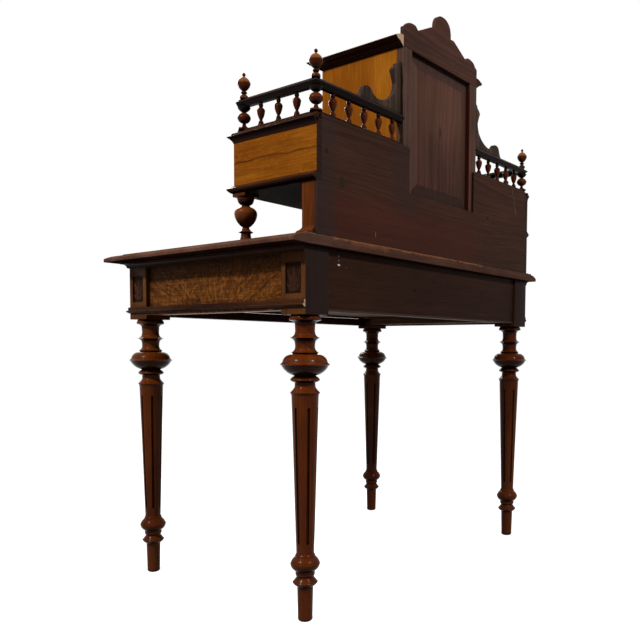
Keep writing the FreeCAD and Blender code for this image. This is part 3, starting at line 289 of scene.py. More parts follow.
def woodMaterial(name, wood, axis, offset=(0, 0, 0), feather=None, extra=None):
    # a finish with its grain along one axis; offset moves the figure from piece to piece,
    # feather is the point a crotch figure fans out of, extra adds marks of the piece's own
    look = {**commonWood, **woods[wood]}
    material, tree, shader = newMaterial(name)
    place = objectPlace(tree)
    mapping = newNode(tree, "ShaderNodeMapping", {
        "Vector": place, "Location": offset, "Rotation": grainTurns[axis]})
    grain = newNode(tree, "ShaderNodeGroup", {
        "Vector": mapping.outputs[0], "Streaks per Metre": look["streaks"],
        "Swirl": look["swirl"], "Cathedral": look["cathedral"]}, node_tree=grainGroup).outputs
    wear = newNode(tree, "ShaderNodeGroup", {"Vector": place, "Amount": look["wear"]},
                   node_tree=wearAndShadeGroup).outputs
    figure, mottle = grain["Streaks"], grain["Cloud"]
    if feather:
        centre = newNode(tree, "ShaderNodeMapping", {
            "Vector": place, "Location": [-value for value in feather]})
        plume = newNode(tree, "ShaderNodeGroup", {"Vector": centre.outputs[0]},
                        node_tree=featherGroup).outputs
        figure, mottle = plume["Feather"], plume["Ripple"]
    tone = 0.5 - 0.5 * (look["figure"] + look["mottle"] + look["fibre"])
    for value, weight in ((figure, "figure"), (mottle, "mottle"), (grain["Fibres"], "fibre")):
        tone = scaled(tree, value, look[weight], tone)
    colour = rampNode(tree, tone, [(0.26, look["dark"]), (0.5, look["mid"]), (0.74, look["light"])])
    for mask, amount in ((grain["Lines"], look["lines"]), (grain["Pores"], 0.35)):
        colour = mixColour(tree, times(tree, mask, amount), colour, look["dark"])
    if extra:
        colour = extra(tree, place, colour)
    # painted shade: corners and recesses darkened by ambient occlusion, and faces that look down
    # darkened
    for mask, amount in ((wear["Dirt"], look["cornerShade"]), (wear["Under"], look["under"])):
        if amount:
            colour = mixColour(tree, times(tree, mask, amount), colour, nearBlack)
    rough = scaled(tree, grain["Cloud"], 0.14, look["rough"] - 0.07)
    bump = newNode(tree, "ShaderNodeBump", {
        "Strength": 0.1 if look["rough"] < 0.45 else 0.28, "Distance": 0.0006,
        "Height": minus(tree, grain["Fibres"], grain["Pores"])})
    feedAll(tree, shader, {
        "Base Color": mixColour(tree, wear["Wear"], colour, look["worn"]),
        "Roughness": scaled(tree, wear["Scuffs"], 0.1, rough),
        "Specular IOR Level": look["shine"], "Normal": bump.outputs[0]})
    return material


def brassMaterial():
    material, tree, shader = newMaterial("agedBrass")
    stain = noiseNode(tree, objectPlace(tree), 120, 4, 0.6)
    feedAll(tree, shader, {
        "Base Color": rampNode(tree, stain, [(0.3, (0.16, 0.09, 0.03)), (0.6, (0.50, 0.33, 0.12)),
                                             (0.8, (0.66, 0.46, 0.18))]),
        "Metallic": 1, "Roughness": scaled(tree, stain, 0.3, 0.2)})
    return material


def fadeOut(tree, value, start, end):
    # 1 up to start and 0 from end on
    return newNode(tree, "ShaderNodeMapRange", {
        "Value": value, "From Min": start, "From Max": end, "To Min": 1, "To Max": 0},
        interpolation_type="SMOOTHSTEP").outputs[0]


def regionMask(tree, place, spans, soft, ragged):
    # 1 inside the spans along X, Y and Z, in metres, falling to 0 over a soft border that may
    # be ragged; an axis without a span is left open
    shake = None
    if ragged:
        shake = times(tree, minus(tree, noiseNode(tree, place, 70, 4, 0.65), 0.5), ragged)
    mask = None
    for value, span in zip(axesOf(tree, place), spans):
        if span is None:
            continue
        middle, reach = (span[0] + span[1]) / 2, (span[1] - span[0]) / 2
        away = distance(tree, value, middle)
        if shake:
            away = mathNode(tree, "ADD", away, shake)
        inside = fadeOut(tree, away, reach - soft, reach + soft)
        mask = inside if mask is None else times(tree, mask, inside)
    return mask


def spotMask(tree, place, centre, radii, ragged):
    # 1 inside an oval, in millimetres, falling to 0 over its ragged border
    moved = newNode(tree, "ShaderNodeVectorMath", {0: place, 1: [value * mm for value in centre]},
                    operation="SUBTRACT")
    shaped = stretched(tree, moved.outputs[0], [1 / (value * mm) for value in radii])
    away = newNode(tree, "ShaderNodeVectorMath", {0: shaped}, operation="LENGTH").outputs["Value"]
    rough = minus(tree, noiseNode(tree, place, 160, 3, 0.6), 0.5)
    return fadeOut(tree, scaled(tree, rough, ragged, away), 0.7, 1.1)


def patch(x, y, z, soft, tint, strength, ragged=0):
    return regionMask, ((x, y, z), soft, ragged), tint, strength


def band(low, high, soft, tint, strength):
    # a mark between two heights
    return patch(None, None, (low, high), soft, tint, strength)


def spot(centre, radii, ragged, tint, strength):
    return spotMask, (centre, radii, ragged), tint, strength


def painted(*marks):
    # a piece's own marks over its finish, in order
    def paint(tree, place, colour):
        for mask, shape, tint, strength in marks:
            shown = times(tree, mask(tree, place, *shape), strength)
            colour = mixColour(tree, shown, colour, tint)
        return colour
    return paint


print("materials: node groups and finishes ready")


def bulged(first, last, swell, side=1, steps=5):
    # points from first to last on the arc whose middle stands off the chord by swell
    if abs(swell) < 0.05:
        return [last]
    chord = Vector((last[0] - first[0], last[1] - first[1]))
    out = Vector((chord.y, -chord.x)).normalized() * side * math.copysign(1, swell)
    high, length = abs(swell), chord.length
    radius = (length * length / 4 + high * high) / (2 * high)
    half = 2 * math.atan(2 * high / length)
    centre = Vector((first[0] + last[0], first[1] + last[1])) / 2 - out * (radius - high)
    ahead = chord.normalized()
    points = []
    for step in range(1, steps):
        angle = half * (2 * step / steps - 1)
        point = centre + (out * math.cos(angle) + ahead * math.sin(angle)) * radius
        points.append((point.x, point.y))
    return points + [last]


def traced(stations, side=1, steps=5):
    # a line through (across, high, swell) stations
    line = [stations[0][:2]]
    for station in stations[1:]:
        line += bulged(line[-1], station[:2], station[2] if len(station) > 2 else 0, side, steps)
    return line


def rounded(points, soft, closed=False, steps=3, least=18):
    # the same line with its sharp corners taken off over a length of soft
    count = len(points)
    line = []
    for index, here in enumerate(points):
        if not closed and index in (0, count - 1):
            line.append(here)
            continue
        corner = Vector(here)
        back = Vector(points[index - 1]) - corner
        ahead = Vector(points[(index + 1) % count]) - corner
        if min(back.length, ahead.length) < 1e-6:
            continue
        turn = math.degrees(math.pi - back.angle(ahead))
        if turn < least:
            line.append(here)
            continue
        start = corner + back.normalized() * min(soft, back.length * 0.45)
        end = corner + ahead.normalized() * min(soft, ahead.length * 0.45)
        for step in range(steps + 1):
            t = step / steps
            place = start * (1 - t) ** 2 + corner * 2 * t * (1 - t) + end * t ** 2
            line.append((place.x, place.y))
    return line


def settled(mesh, angle=24, recalculate=True):
    # closed, outward-facing, smooth except over sharp edges
    shape = bmesh.new()
    shape.from_mesh(mesh)
    if recalculate:
        bmesh.ops.remove_doubles(shape, verts=shape.verts, dist=0.000004)
        bmesh.ops.recalc_face_normals(shape, faces=shape.faces)
    shape.to_mesh(mesh)
    shape.free()
    mesh.shade_smooth()
    mesh.set_sharp_from_angle(angle=math.radians(angle))
    return mesh


def meshOf(name, points, faces, indices=None):
    mesh = bpy.data.meshes.new(name)
    mesh.from_pydata([tuple(value * mm for value in point) for point in points], [], faces)
    if indices:
        mesh.polygons.foreach_set("material_index", indices)
    return mesh


def placed(name, data):
    made = bpy.data.objects.new(name, data)
    scene.collection.objects.link(made)
    return made


def addPiece(name, mesh, materials, node=None, body="root"):
    # node is the solid that the piece stands for
    piece = placed(name, mesh)
    if not mesh.materials:
        for material in materials:
            mesh.materials.append(material)
    if node:
        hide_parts(node)
    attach(piece, body)


def joinedMesh(name, meshes):
    # several meshes as one, each keeping its own materials
    shape = bmesh.new()
    materials = []
    for mesh in meshes:
        start = len(shape.faces)
        shape.from_mesh(mesh)
        shape.faces.ensure_lookup_table()
        slots = []
        for material in mesh.materials:
            if material not in materials:
                materials.append(material)
            slots.append(materials.index(material))
        if slots:
            for face in shape.faces[start:]:
                face.material_index = slots[face.material_index]
    whole = bpy.data.meshes.new(name)
    shape.to_mesh(whole)
    shape.free()
    for material in materials:
        whole.materials.append(material)
    return whole


def clamped(tree, value, low, high):
    # 0 at low and 1 at high, and held there beyond them
    return newNode(tree, "ShaderNodeMapRange", {"Value": value, "From Min": low, "From Max": high},
                   clamp=True).outputs[0]


def finishTree(tree, geometry, get, leave):
    # last nodes of each tree: real geometry with its material
    tree.is_modifier = True
    whole = newNode(tree, "GeometryNodeRealizeInstances", {"Geometry": geometry})
    dress = newNode(tree, "GeometryNodeSetMaterial", {
        "Geometry": whole.outputs["Geometry"], "Material": get["Material"]})
    return feedAll(tree, leave, {"Geometry": dress.outputs["Geometry"]})


def buildTurningTree():
    # spins a line of points (radius, 0, height) round Z and sinks stopped flutes into it
    tree, get, leave = newTree("GeometryNodeTree", "turning", [
        ("Geometry", "Geometry"), ("Sides", "Int"), ("Flutes", "Int"), ("Flute Width", "Float"),
        ("Flute Depth", "Float"), ("Flute Low", "Float"), ("Flute High", "Float"),
        ("Centre", "Vector"), ("Material", "Material")], ["Geometry"], "Geometry")

    def work(operation, *values):
        return mathNode(tree, operation, *values)

    def by(first, second):
        return times(tree, first, second)

    def less(first, second):
        return minus(tree, first, second)

    def partOf(value, size):
        return work("FLOOR", work("DIVIDE", work("ADD", value, 0.5), size))

    rings = newNode(tree, "GeometryNodeAttributeDomainSize", {0: get["Geometry"]},
                    component="MESH").outputs["Point Count"]
    grid = newNode(tree, "GeometryNodeMeshGrid", {
        "Vertices X": work("ADD", get["Sides"], 1), "Vertices Y": rings})
    index = newNode(tree, "GeometryNodeInputIndex").outputs[0]
    turn = partOf(index, rings)
    sample = newNode(tree, "GeometryNodeSampleIndex", {
        "Geometry": get["Geometry"], "Index": less(index, by(turn, rings)),
        "Value": newNode(tree, "GeometryNodeInputPosition").outputs[0]},
        data_type="FLOAT_VECTOR", domain="POINT")
    axes = axesOf(tree, sample.outputs["Value"])
    radius, height = axes[0], axes[2]
    # place within one sector, -1 to 1, with a flute along its middle
    perSector = work("DIVIDE", get["Sides"], get["Flutes"])
    sector = partOf(turn, perSector)
    within = less(turn, by(sector, perSector))
    u = less(work("DIVIDE", by(within, 2), perSector), 1)
    away = work("ABSOLUTE", u)
    reach = work("DIVIDE", math.pi, get["Flutes"])
    halfWide = by(get["Flute Width"], 0.5)
    below = less(work("ADD", get["Flute Low"], halfWide), height)
    above = less(height, less(get["Flute High"], halfWide))
    beyond = work("MAXIMUM", work("MAXIMUM", below, above), 0)
    # a flute is as wide as a circle's chord near its ends
    square = less(by(halfWide, halfWide), by(beyond, beyond))
    wide = work("SQRT", work("MAXIMUM", square, 0))
    ends = clamped(tree, wide, 0.0, by(halfWide, 0.5))
    wall = work("ARCSINE", work("DIVIDE", wide, work("MAXIMUM", radius, 0.001)))
    # a flute's floor, its wall and the land beside it, as shares of half a sector
    floorPart = clamped(tree, away, 0, 0.25)
    wallPart = clamped(tree, away, 0.25, 1 / 3)
    landPart = clamped(tree, away, 1 / 3, 1)
    spread = by(wall, work("ADD", by(floorPart, 0.8), by(wallPart, 0.2)))
    fluted = work("MULTIPLY_ADD", landPart, less(reach, wall), spread)
    plain = by(away, reach)
    sunk = work("GREATER_THAN", get["Flute Depth"], 0.0)
    local = work("MULTIPLY_ADD", less(fluted, plain), sunk, plain)
    angle = work("MULTIPLY_ADD", work("SIGN", u), local, by(by(sector, reach), 2))
    bottom = less(1, by(by(floorPart, floorPart), 0.35))
    depth = by(by(bottom, ends), less(1, wallPart))
    inner = less(radius, by(depth, get["Flute Depth"]))
    place = newNode(tree, "ShaderNodeCombineXYZ", {
        0: by(inner, work("COSINE", angle)),
        1: by(inner, work("SINE", angle)), 2: height})
    shift = newNode(tree, "ShaderNodeVectorMath", {0: place.outputs[0], 1: get["Centre"]},
                    operation="ADD")
    move = newNode(tree, "GeometryNodeSetPosition", {
        "Geometry": grid.outputs["Mesh"], "Position": shift.outputs[0]})
    merge = newNode(tree, "GeometryNodeMergeByDistance", {
        "Geometry": move.outputs["Geometry"], "Distance": 0.000004})
    return finishTree(tree, merge.outputs["Geometry"], get, leave)


def buildSetOutTree():
    # sets one piece up at each point, turned about Z by the point's own "turn"
    tree, get, leave = newTree("GeometryNodeTree", "setOut", [
        ("Geometry", "Geometry"), ("Piece", "Object"), ("Material", "Material")],
        ["Geometry"], "Geometry")
    source = newNode(tree, "GeometryNodeObjectInfo", {"Object": get["Piece"]},
                     transform_space="ORIGINAL")
    turn = newNode(tree, "GeometryNodeInputNamedAttribute", {"Name": "turn"}, data_type="FLOAT")
    axis = newNode(tree, "ShaderNodeCombineXYZ", {2: turn.outputs["Attribute"]})
    rotate = newNode(tree, "FunctionNodeEulerToRotation", {0: axis.outputs[0]})
    spread = newNode(tree, "GeometryNodeInstanceOnPoints", {
        "Points": get["Geometry"], "Instance": source.outputs["Geometry"],
        "Rotation": rotate.outputs[0]})
    return finishTree(tree, spread.outputs["Instances"], get, leave)


turningTree = buildTurningTree()
setOutTree = buildSetOutTree()


def bakedMesh(carrier):
    # what a carrier's modifier or curve makes, as a plain mesh; the carrier goes
    graph = bpy.context.evaluated_depsgraph_get()
    made = bpy.data.meshes.new_from_object(carrier.evaluated_get(graph), depsgraph=graph)
    carrier.modifiers.clear()
    bpy.data.objects.remove(carrier)
    return made


def grown(name, mesh, tree, inputs):
    # runs a geometry tree on a mesh
    carrier = placed(name + "_carrier", mesh)
    modifier = carrier.modifiers.new("build", "NODES")
    modifier.node_group = tree
    for item in tree.interface.items_tree:
        if item.item_type == "SOCKET" and item.in_out == "INPUT" and item.name in inputs:
            modifier[item.identifier] = inputs[item.name]
    made = bakedMesh(carrier)
    made.name = name
    return settled(made)


def turnedMesh(name, profile, material, centre=(0, 0, 0), sides=48, flutes=None):
    # profile in millimetres as (radius, height); flutes gives count, width, depth, low, high
    line = bpy.data.meshes.new(name + "_line")
    line.from_pydata([(radius * mm, 0, height * mm) for radius, height in profile], [], [])
    count, wide, deep, low, high = flutes or (1, 0, 0, 0, 0)
    return grown(name, line, turningTree, {
        "Sides": sides, "Flutes": count, "Flute Width": wide * mm, "Flute Depth": deep * mm,
        "Flute Low": low * mm, "Flute High": high * mm,
        "Centre": tuple(value * mm for value in centre), "Material": material})


def setOut(name, master, places, material):
    # master mesh at each (x, y, z, turn), in millimetres and radians
    points = bpy.data.meshes.new(name + "_places")
    points.from_pydata([tuple(value * mm for value in place[:3]) for place in places], [], [])
    turns = points.attributes.new("turn", "FLOAT", "POINT")
    for index, place in enumerate(places):
        turns.data[index].value = place[3] if len(place) > 3 else 0.0
    pattern = placed(name + "_pattern", master)
    whole = grown(name, points, setOutTree, {"Piece": pattern, "Material": material})
    bpy.data.objects.remove(pattern)
    return whole


def stood(stations, foot=0.0, soft=0.7, closed=True, steps=5):
    # stations (rise, radius, swell) up a turning as a line of (radius, height)
    height = foot
    listed = []
    for rise, radius, swell in stations:
        height += rise
        listed.append((radius, height, swell))
    line = rounded(traced(listed, 1, steps), soft)
    return [(0, line[0][1])] + line + [(0, line[-1][1])] if closed else line


def mitredRun(name, profile, path, materials, ends=(0, 0)):
    # sweeps a closed profile (out, high) along a level path, mitred at its corners; out is to
    # the right of the way; materials are for runs along X, along Y and for the sawn ends, and
    # ends says which of them the first and the last end take
    count = len(profile)
    points, faces, indices = [], [], []
    for index, (x, y) in enumerate(path):
        normals = []
        for first, last in ((index - 1, index), (index, index + 1)):
            if first < 0 or last >= len(path):
                continue
            way = (Vector(path[last]) - Vector(path[first])).normalized()
            normals.append(Vector((way.y, -way.x)))
        mitre = normals[0]
        if len(normals) > 1:
            mitre = (normals[0] + normals[1]) / (1 + normals[0].dot(normals[1]))
        points += [(x + mitre.x * out, y + mitre.y * out, high) for out, high in profile]
    for run in range(len(path) - 1):
        alongX = abs(path[run + 1][0] - path[run][0]) > abs(path[run + 1][1] - path[run][1])
        for step in range(count):
            after = (step + 1) % count
            base = run * count
            faces.append((base + step, base + after, base + count + after, base + count + step))
            indices.append(0 if alongX else 1)
    faces += [tuple(range(count)), tuple(range(len(points) - count, len(points)))]
    indices += ends
    mesh = meshOf(name, points, faces, indices)
    for material in materials:
        mesh.materials.append(material)
    return settled(mesh, 22)


def eased(mesh, width=1.0, segments=2):
    # arrises taken off
    carrier = placed(mesh.name + "_carrier", mesh)
    bevel = carrier.modifiers.new("ease", "BEVEL")
    bevel.width = width * mm
    bevel.segments = segments
    bevel.limit_method = "ANGLE"
    bevel.angle_limit = math.radians(30)
    bevel.use_clamp_overlap = True
    return settled(bakedMesh(carrier), 20, False)


def boardCopy(node, width, segments=2):
    # a joiner's board: the node's own shape with its arrises eased
    mesh = nodes[node].data.copy()
    mesh.materials.clear()
    shape = bmesh.new()
    shape.from_mesh(mesh)
    bmesh.ops.remove_doubles(shape, verts=shape.verts, dist=0.000005)
    bmesh.ops.dissolve_limit(shape, angle_limit=math.radians(0.6), verts=shape.verts,
                             edges=shape.edges)
    shape.to_mesh(mesh)
    shape.free()
    return eased(mesh, width, segments)


def boxMesh(name, xs, ys, zs):
    points = [(x, y, z) for x in xs for y in ys for z in zs]
    faces = [(0, 1, 3, 2), (4, 6, 7, 5), (0, 4, 5, 1), (2, 3, 7, 6), (0, 2, 6, 4), (1, 5, 7, 3)]
    return settled(meshOf(name, points, faces))


def boxBoard(name, xs, ys, zs, soft, material):
    # a plain board with eased arrises and its finish
    board = eased(boxMesh(name, xs, ys, zs), soft)
    board.materials.append(material)
    return board


def plate(name, outlines, ys, soft):
    # closed (x, z) outlines, holes among them, cut from a board between two y faces
    curve = bpy.data.curves.new(name, "CURVE")
    curve.dimensions = "2D"
    curve.fill_mode = "BOTH"
    curve.extrude = (abs(ys[1] - ys[0]) / 2 - soft) * mm
    curve.bevel_depth = soft * mm
    curve.bevel_resolution = 1
    curve.offset = -soft * mm
    for outline in outlines:
        spline = curve.splines.new("POLY")
        spline.points.add(len(outline) - 1)
        for point, (x, z) in zip(spline.points, outline):
            point.co = (x * mm, z * mm, 0, 1)
        spline.use_cyclic_u = True
    mesh = bakedMesh(placed(name + "_carrier", curve))
    middle = (ys[0] + ys[1]) / 2 * mm
    mesh.transform(Matrix(((1, 0, 0, 0), (0, 0, -1, middle), (0, 1, 0, 0), (0, 0, 0, 1))))
    mesh.name = name
    return settled(mesh, 20)


def mirrored(line, side):
    # the same path on the other side of the desk, still run the same way round
    return line if side > 0 else [(-x, y) for x, y in reversed(line)]


print("shapes: trees and tools ready")

# half widths from the middle, faces by their place in depth and levels above the floor
base = {
    "legX": 431.3, "frontY": -249.05, "backY": 274.35, "carcassX": 464.6, "carcassFront": -282.35,
    "carcassBack": 307.65, "deskHeight": 780, "upperHalf": 444.6, "boxInner": 430.6,
    "boxFront": 77.85, "boxFoot": 883, "panelBack": 318.75, "cabinetHalf": 158.5,
    "cabinetFront": 67.15, "cabinetOpening": 909, "frameBack": 312.75, "galleryX": 431.9,
    "galleryFront": 96.95, "galleryBack": 304.65, "galleryFoot": 1017.3, "railFoot": 1063.5,
    "railTop": 1081.5,
}


def wood(name, kind, axis, seed, **more):
    # a board's own finish: seed shifts its figure so that no two boards match
    offset = (0.37 * seed, 0.113 * seed, 0.231 * seed)
    return woodMaterial(f"{kind}_{name}", kind, axis, offset, **more)


legs = {
    "sides": 144, "soft": 0.8,
    "foot": [(0, 11, 0), (8, 15, 2), (64.5, 16.6, 0), (8.7, 26.1, 1.2), (11.3, 17.2, -0.3),
             (6.5, 20, 0.8), (6, 20.4, 0), (15, 30.5, 2.5), (14, 20.8, 1.2), (3.5, 20.4, 0),
             (5.5, 18.2, -0.6)],
    "head": [(0, 27.4, 0), (7, 30.6, -0.6), (11.5, 21, -0.8), (8.9, 20.7, 0), (4.9, 30.2, 1),
             (8.2, 21.8, 1.1), (0.6, 22, 0), (18.1, 46.2, 3.2), (4.5, 50.8, -0.5),
             (4, 45.8, -0.5), (15.6, 25.2, 5.2), (1.6, 25, 0), (2.8, 27.6, 0), (10.8, 20, -2.2),
             (11, 21, -0.3), (7.2, 30.7, -1.2), (7.4, 20.8, -1.4), (6.4, 19.8, 0), (14.6, 20.6, 0),
             (6.4, 31.4, -1.5), (2, 31.9, 0), (8.6, 27.5, 1.2)],
    "headFoot": 461.5, "flutes": 6, "fluteWide": 6, "fluteDeep": 4.5, "fluteEnds": (161, 439),
}


def legProfile():
    foot = stood(legs["foot"], 0, legs["soft"], closed=False)
    head = stood(legs["head"], legs["headFoot"], legs["soft"], closed=False)
    low, high = legs["fluteEnds"]
    half = legs["fluteWide"] / 2
    near = [half * share for share in (0, 0.03, 0.12, 0.3, 0.55, 0.8, 1)]
    heights = [low + step for step in near] + [high - step for step in reversed(near)]
    (firstRadius, firstHigh), (lastRadius, lastHigh) = foot[-1], head[0]
    shaft = [(firstRadius + (lastRadius - firstRadius) * (z - firstHigh) / (lastHigh - firstHigh), z)
             for z in heights]
    line = foot + shaft + head
    return [(0, line[0][1])] + line + [(0, line[-1][1])]


def makeLegs():
    profile = legProfile()
    flutes = (legs["flutes"], legs["fluteWide"], legs["fluteDeep"], *legs["fluteEnds"])
    for index, (end, y) in enumerate((("front", base["frontY"]), ("back", base["backY"]))):
        for label, side in sides:
            name = f"{end}_{label}"
            material = wood("leg_" + name, "polished", "Z", 1 + index * 2 + (side > 0))
            mesh = turnedMesh("turned_leg_" + name, profile, material,
                              (base["legX"] * side, y, 0), legs["sides"], flutes)
            addPiece("turned_leg_" + name, mesh, [material], "leg_" + name)


makeLegs()
print("legs turned and fluted")

# sections as (out, up, swell) from the foot of each moulding
runs = {
    "soft": 0.45,
    "bead": [(3.4, 14.5), (3.4, 7.2), (5.6, 6.8), (5.6, 2.6, 1.5), (2.2, 0, -0.4), (0, 0)],
    "under": [(14.7, 12.6), (14.7, 10.6), (12.8, 10.4), (4.6, 3.6, -1.8), (4.6, 1.8), (2, 1.4),
              (0, 0)],
    "boxCornice": [(3.2, 20.4, 0.5), (3.6, 18.8), (10.5, 14.4, -0.5), (10.5, 12.8), (0, 0, -1.8)],
    "boxBase": [(1.6, 17), (11.3, 10.6, -1), (11.3, 8.6), (3.4, 1, 0.8), (0, 0)],
    "cornice": [(9, 24.5), (27, 18), (27, 15.6), (24.4, 15.2), (17.6, 10.4, 1.1), (15.4, 10),
                (9.8, 7, -0.9), (9.8, 5.6), (5.4, 5), (3.2, 1.8, 0.9), (0, 0)],
    "rail": [(5.5, 0), (12.4, 8.4, -0.3), (12.4, 10.4), (9.8, 11.2), (9, 12.6), (5.6, 14.6),
             (5, 16.4), (3, 18)],
    "levels": {"bead": (638, 652.5), "under": (745.4, 758), "cornice": (1228.5, 1253)},
    "boxLevels": {"boxBase": (883, [(0, 900)]),
                  "boxCornice": (988, [(-5.7, 1001), (-5.7, 1010.7), (0, 1010.7)])},
    "railFront": 84.55,
}


def runProfile(kind, foot, head):
    # a moulding's closed section; its back edge runs up from (0, foot) to the points of head
    return rounded(traced([*head, *[(s[0], foot + s[1], *s[2:]) for s in runs[kind]]], -1),
                   runs["soft"])


# painted shade: the cornice darkened all over, darkest in its cove under the nose, and on the underside
# of the base's bead
boxRunShade = painted(
    band(0.975, 1.02, 0.001, (0.016, 0.0052, 0.0030), 0.5),
    band(0.9945, 1.0022, 0.0014, (0.008, 0.0032, 0.0022), 0.85),
    band(0.985, 0.9935, 0.0012, (0.034, 0.0105, 0.0050), 0.6),
    band(0.880, 0.8885, 0.001, (0.007, 0.003, 0.002), 0.7))

# painted shade on the rail's lower slope under its nose, and a thin painted highlight along the nose's
# top edge
railShadeAndHighlight = painted(
    band(1.0630, 1.0735, 0.001, (0.010, 0.0055, 0.0045), 0.5),
    band(1.0738, 1.0754, 0.0004, (0.075, 0.040, 0.029), 0.6))


def runWoods(name, kind, seed, **more):
    return [wood(name.replace("*", axis), kind, axis, seed, **more) for axis in "XY"]


def makeMouldings():
    half = base["cabinetHalf"]
    carcass = (base["carcassX"], base["carcassFront"], base["carcassBack"])
    cabinet = (half, base["cabinetFront"], base["frameBack"])
    for kind, node, (x, front, back), seed, cut in (
            ("bead", "bead_mouldings", carcass, 12, "freshCut"),
            ("under", "under_mouldings", carcass, 12, "moulding"),
            ("cornice", "cabinet_cornice", cabinet, 17, "freshCut")):
        foot, top = runs["levels"][kind]
        materials = runWoods(kind + "_*", "moulding", seed) + [wood(kind + "_ends", cut, "X", seed + 1)]
        path = [(-x, back), (-x, front), (x, front), (x, back)]
        mesh = mitredRun(kind + "_run", runProfile(kind, foot, [(0, top)]), path, materials, (1, 2))
        addPiece(kind + "_run", mesh, materials, node)
    for label, side in sides:
        outer, front = base["upperHalf"], base["boxFront"]
        path = mirrored([(half, front), (outer, front), (outer, base["panelBack"])], side)
        materials = runWoods("box_run_*_" + label, "moulding", 20 + side, extra=boxRunShade)
        meshes = [mitredRun(kind + label, runProfile(kind, foot, head), path, materials, (1, 1))
                  for kind, (foot, head) in runs["boxLevels"].items()]
        addPiece("box_runs_" + label, joinedMesh("box_runs_" + label, meshes), materials,
                 "box_mouldings_" + label)
        one = traced([(s[0], base["railFoot"] + s[1], *s[2:]) for s in runs["rail"]])
        line = rounded(one + [(-x, z) for x, z in reversed(one)], runs["soft"], closed=True)
        x, back = base["galleryX"], base["galleryBack"]
        path = mirrored([(half, back), (x, back), (x, runs["railFront"])], side)
        materials = runWoods("rail_*_" + label, "ebonised", 23 + side, extra=railShadeAndHighlight)
        mesh = mitredRun("gallery_run_" + label, line, path, materials, (1, 1))
        addPiece("gallery_run_" + label, mesh, materials, "gallery_rails_" + label)


makeMouldings()
print("mouldings run round")

# node, with * for left and right, its finish, the way of its grain and how far its arrises go
boards = [
    ("post_front_*", "postFrame", "Z", 1.0), ("post_back_*", "postFrame", "Z", 1.0),
    ("apron_*", "figured", "Y", 0.8), ("apron_back", "apronStain", "X", 1.0),
    ("front_rail_lower", "moulding", "X", 0.8), ("front_rail_upper", "moulding", "X", 0.8),
    ("desk_drawer_front", "figured", "X", 0.8), ("box_side_*", "veneer", "Y", 0.7),
    ("box_floor_*", "underside", "X", 0.7), ("box_top_*", "moulding", "X", 1.2),
    ("rear_post_*", "warmVeneer", "Z", 0.6), ("cabinet_side_*", "veneer", "Z", 0.8),
    ("cabinet_top", "apronStain", "X", 0.6), ("cabinet_floor", "apronStain", "X", 0.6),
    ("cabinet_shelf", "apronStain", "X", 0.8), ("cabinet_back_panel", "panelStain", "Z", 0.8),
    ("door_panel", "figured", "Z", 0.7), ("small_drawer_*_front", "veneer", "X", 0.8),
]
movingBodies = ("desk_drawer", "small_drawer_left", "small_drawer_right", "door")
darkStain = (0.0165, 0.0115, 0.0115)
# painted shade for the recessed beds of the sunk panels
hollowShade = (0.0075, 0.0028, 0.0020)
sunkPanel = {"middleX": 0.43, "half": 21.4, "levels": (0.6646, 0.7259)}
featherFoot = (0, 0.03, 0.60)


def endStain(y):
    # the back of the carcass was stained where a board's end comes through to it
    return patch(None, (y * mm, (y + 30) * mm), None, 0.0006, darkStain, 0.95)


def postMarks(side, end):
    # painted shade in the recesses behind the leaves, and the stained back of a back post
    half, levels = sunkPanel["half"], sunkPanel["levels"]
    y = base[end + "Y"]
    marks = [patch(None, ((y - half) * mm, (y + half) * mm), levels, 0.0005, hollowShade, 0.85)]
    if end == "front":
        x = side * sunkPanel["middleX"]
        marks.append(patch((x - half * mm, x + half * mm), None, levels, 0.0005, hollowShade, 0.85))
    else:
        marks.append(endStain(307.2))
    return marks


def flameLine(tree, place, colour):
    # flecked and wavy figure, one dark growth line along the middle of a box's side, and its
    # stained back end
    broken = streaked(tree, place, (14, 14, 120), 3, 0.6, 0.8)
    fleck = streaked(tree, place, (0, 75, 130), 3, 0.65, 0.5)
    waves = streaked(tree, place, (0, 7, 46), 3, 0.6, 0.6)
    for mask, stops, tint in ((broken, [(0.55, 0.0), (0.72, 0.3)], (0.13, 0.034, 0.0035)),
                              (fleck, [(0.50, 0.0), (0.68, 0.4)], (0.36, 0.125, 0.008)),
                              (waves, [(0.50, 0.0), (0.66, 0.5)], (0.15, 0.040, 0.004))):
        colour = mixColour(tree, rampNode(tree, mask, stops), colour, tint)
    middle = scaled(tree, streaked(tree, place, (0, 9, 0), 1), 0.026, 0.9335)
    away = distance(tree, axesOf(tree, place)[2], middle)
    line = rampNode(tree, times(tree, away, 100), [(0.06, 0.85), (0.30, 0.0)])
    fade = rampNode(tree, streaked(tree, place, (0, 14, 0), 1), [(0.35, 0.45), (0.60, 1.0)])
    colour = mixColour(tree, times(tree, line, fade), colour, (0.050, 0.013, 0.0025))
    return painted(endStain(318.2))(tree, place, colour)


panelSpots = painted(
    spot((0, 306, 1130), (105, 60, 78), 0.5, (0.125, 0.055, 0.036), 0.32),
    spot((-0.7, 306, 1078.6), (6.5, 60, 19), 0.6, (0.044, 0.020, 0.015), 0.6),
    spot((-0.7, 306, 1078.6), (2.2, 60, 9), 0.5, (0.012, 0.007, 0.006), 0.85))


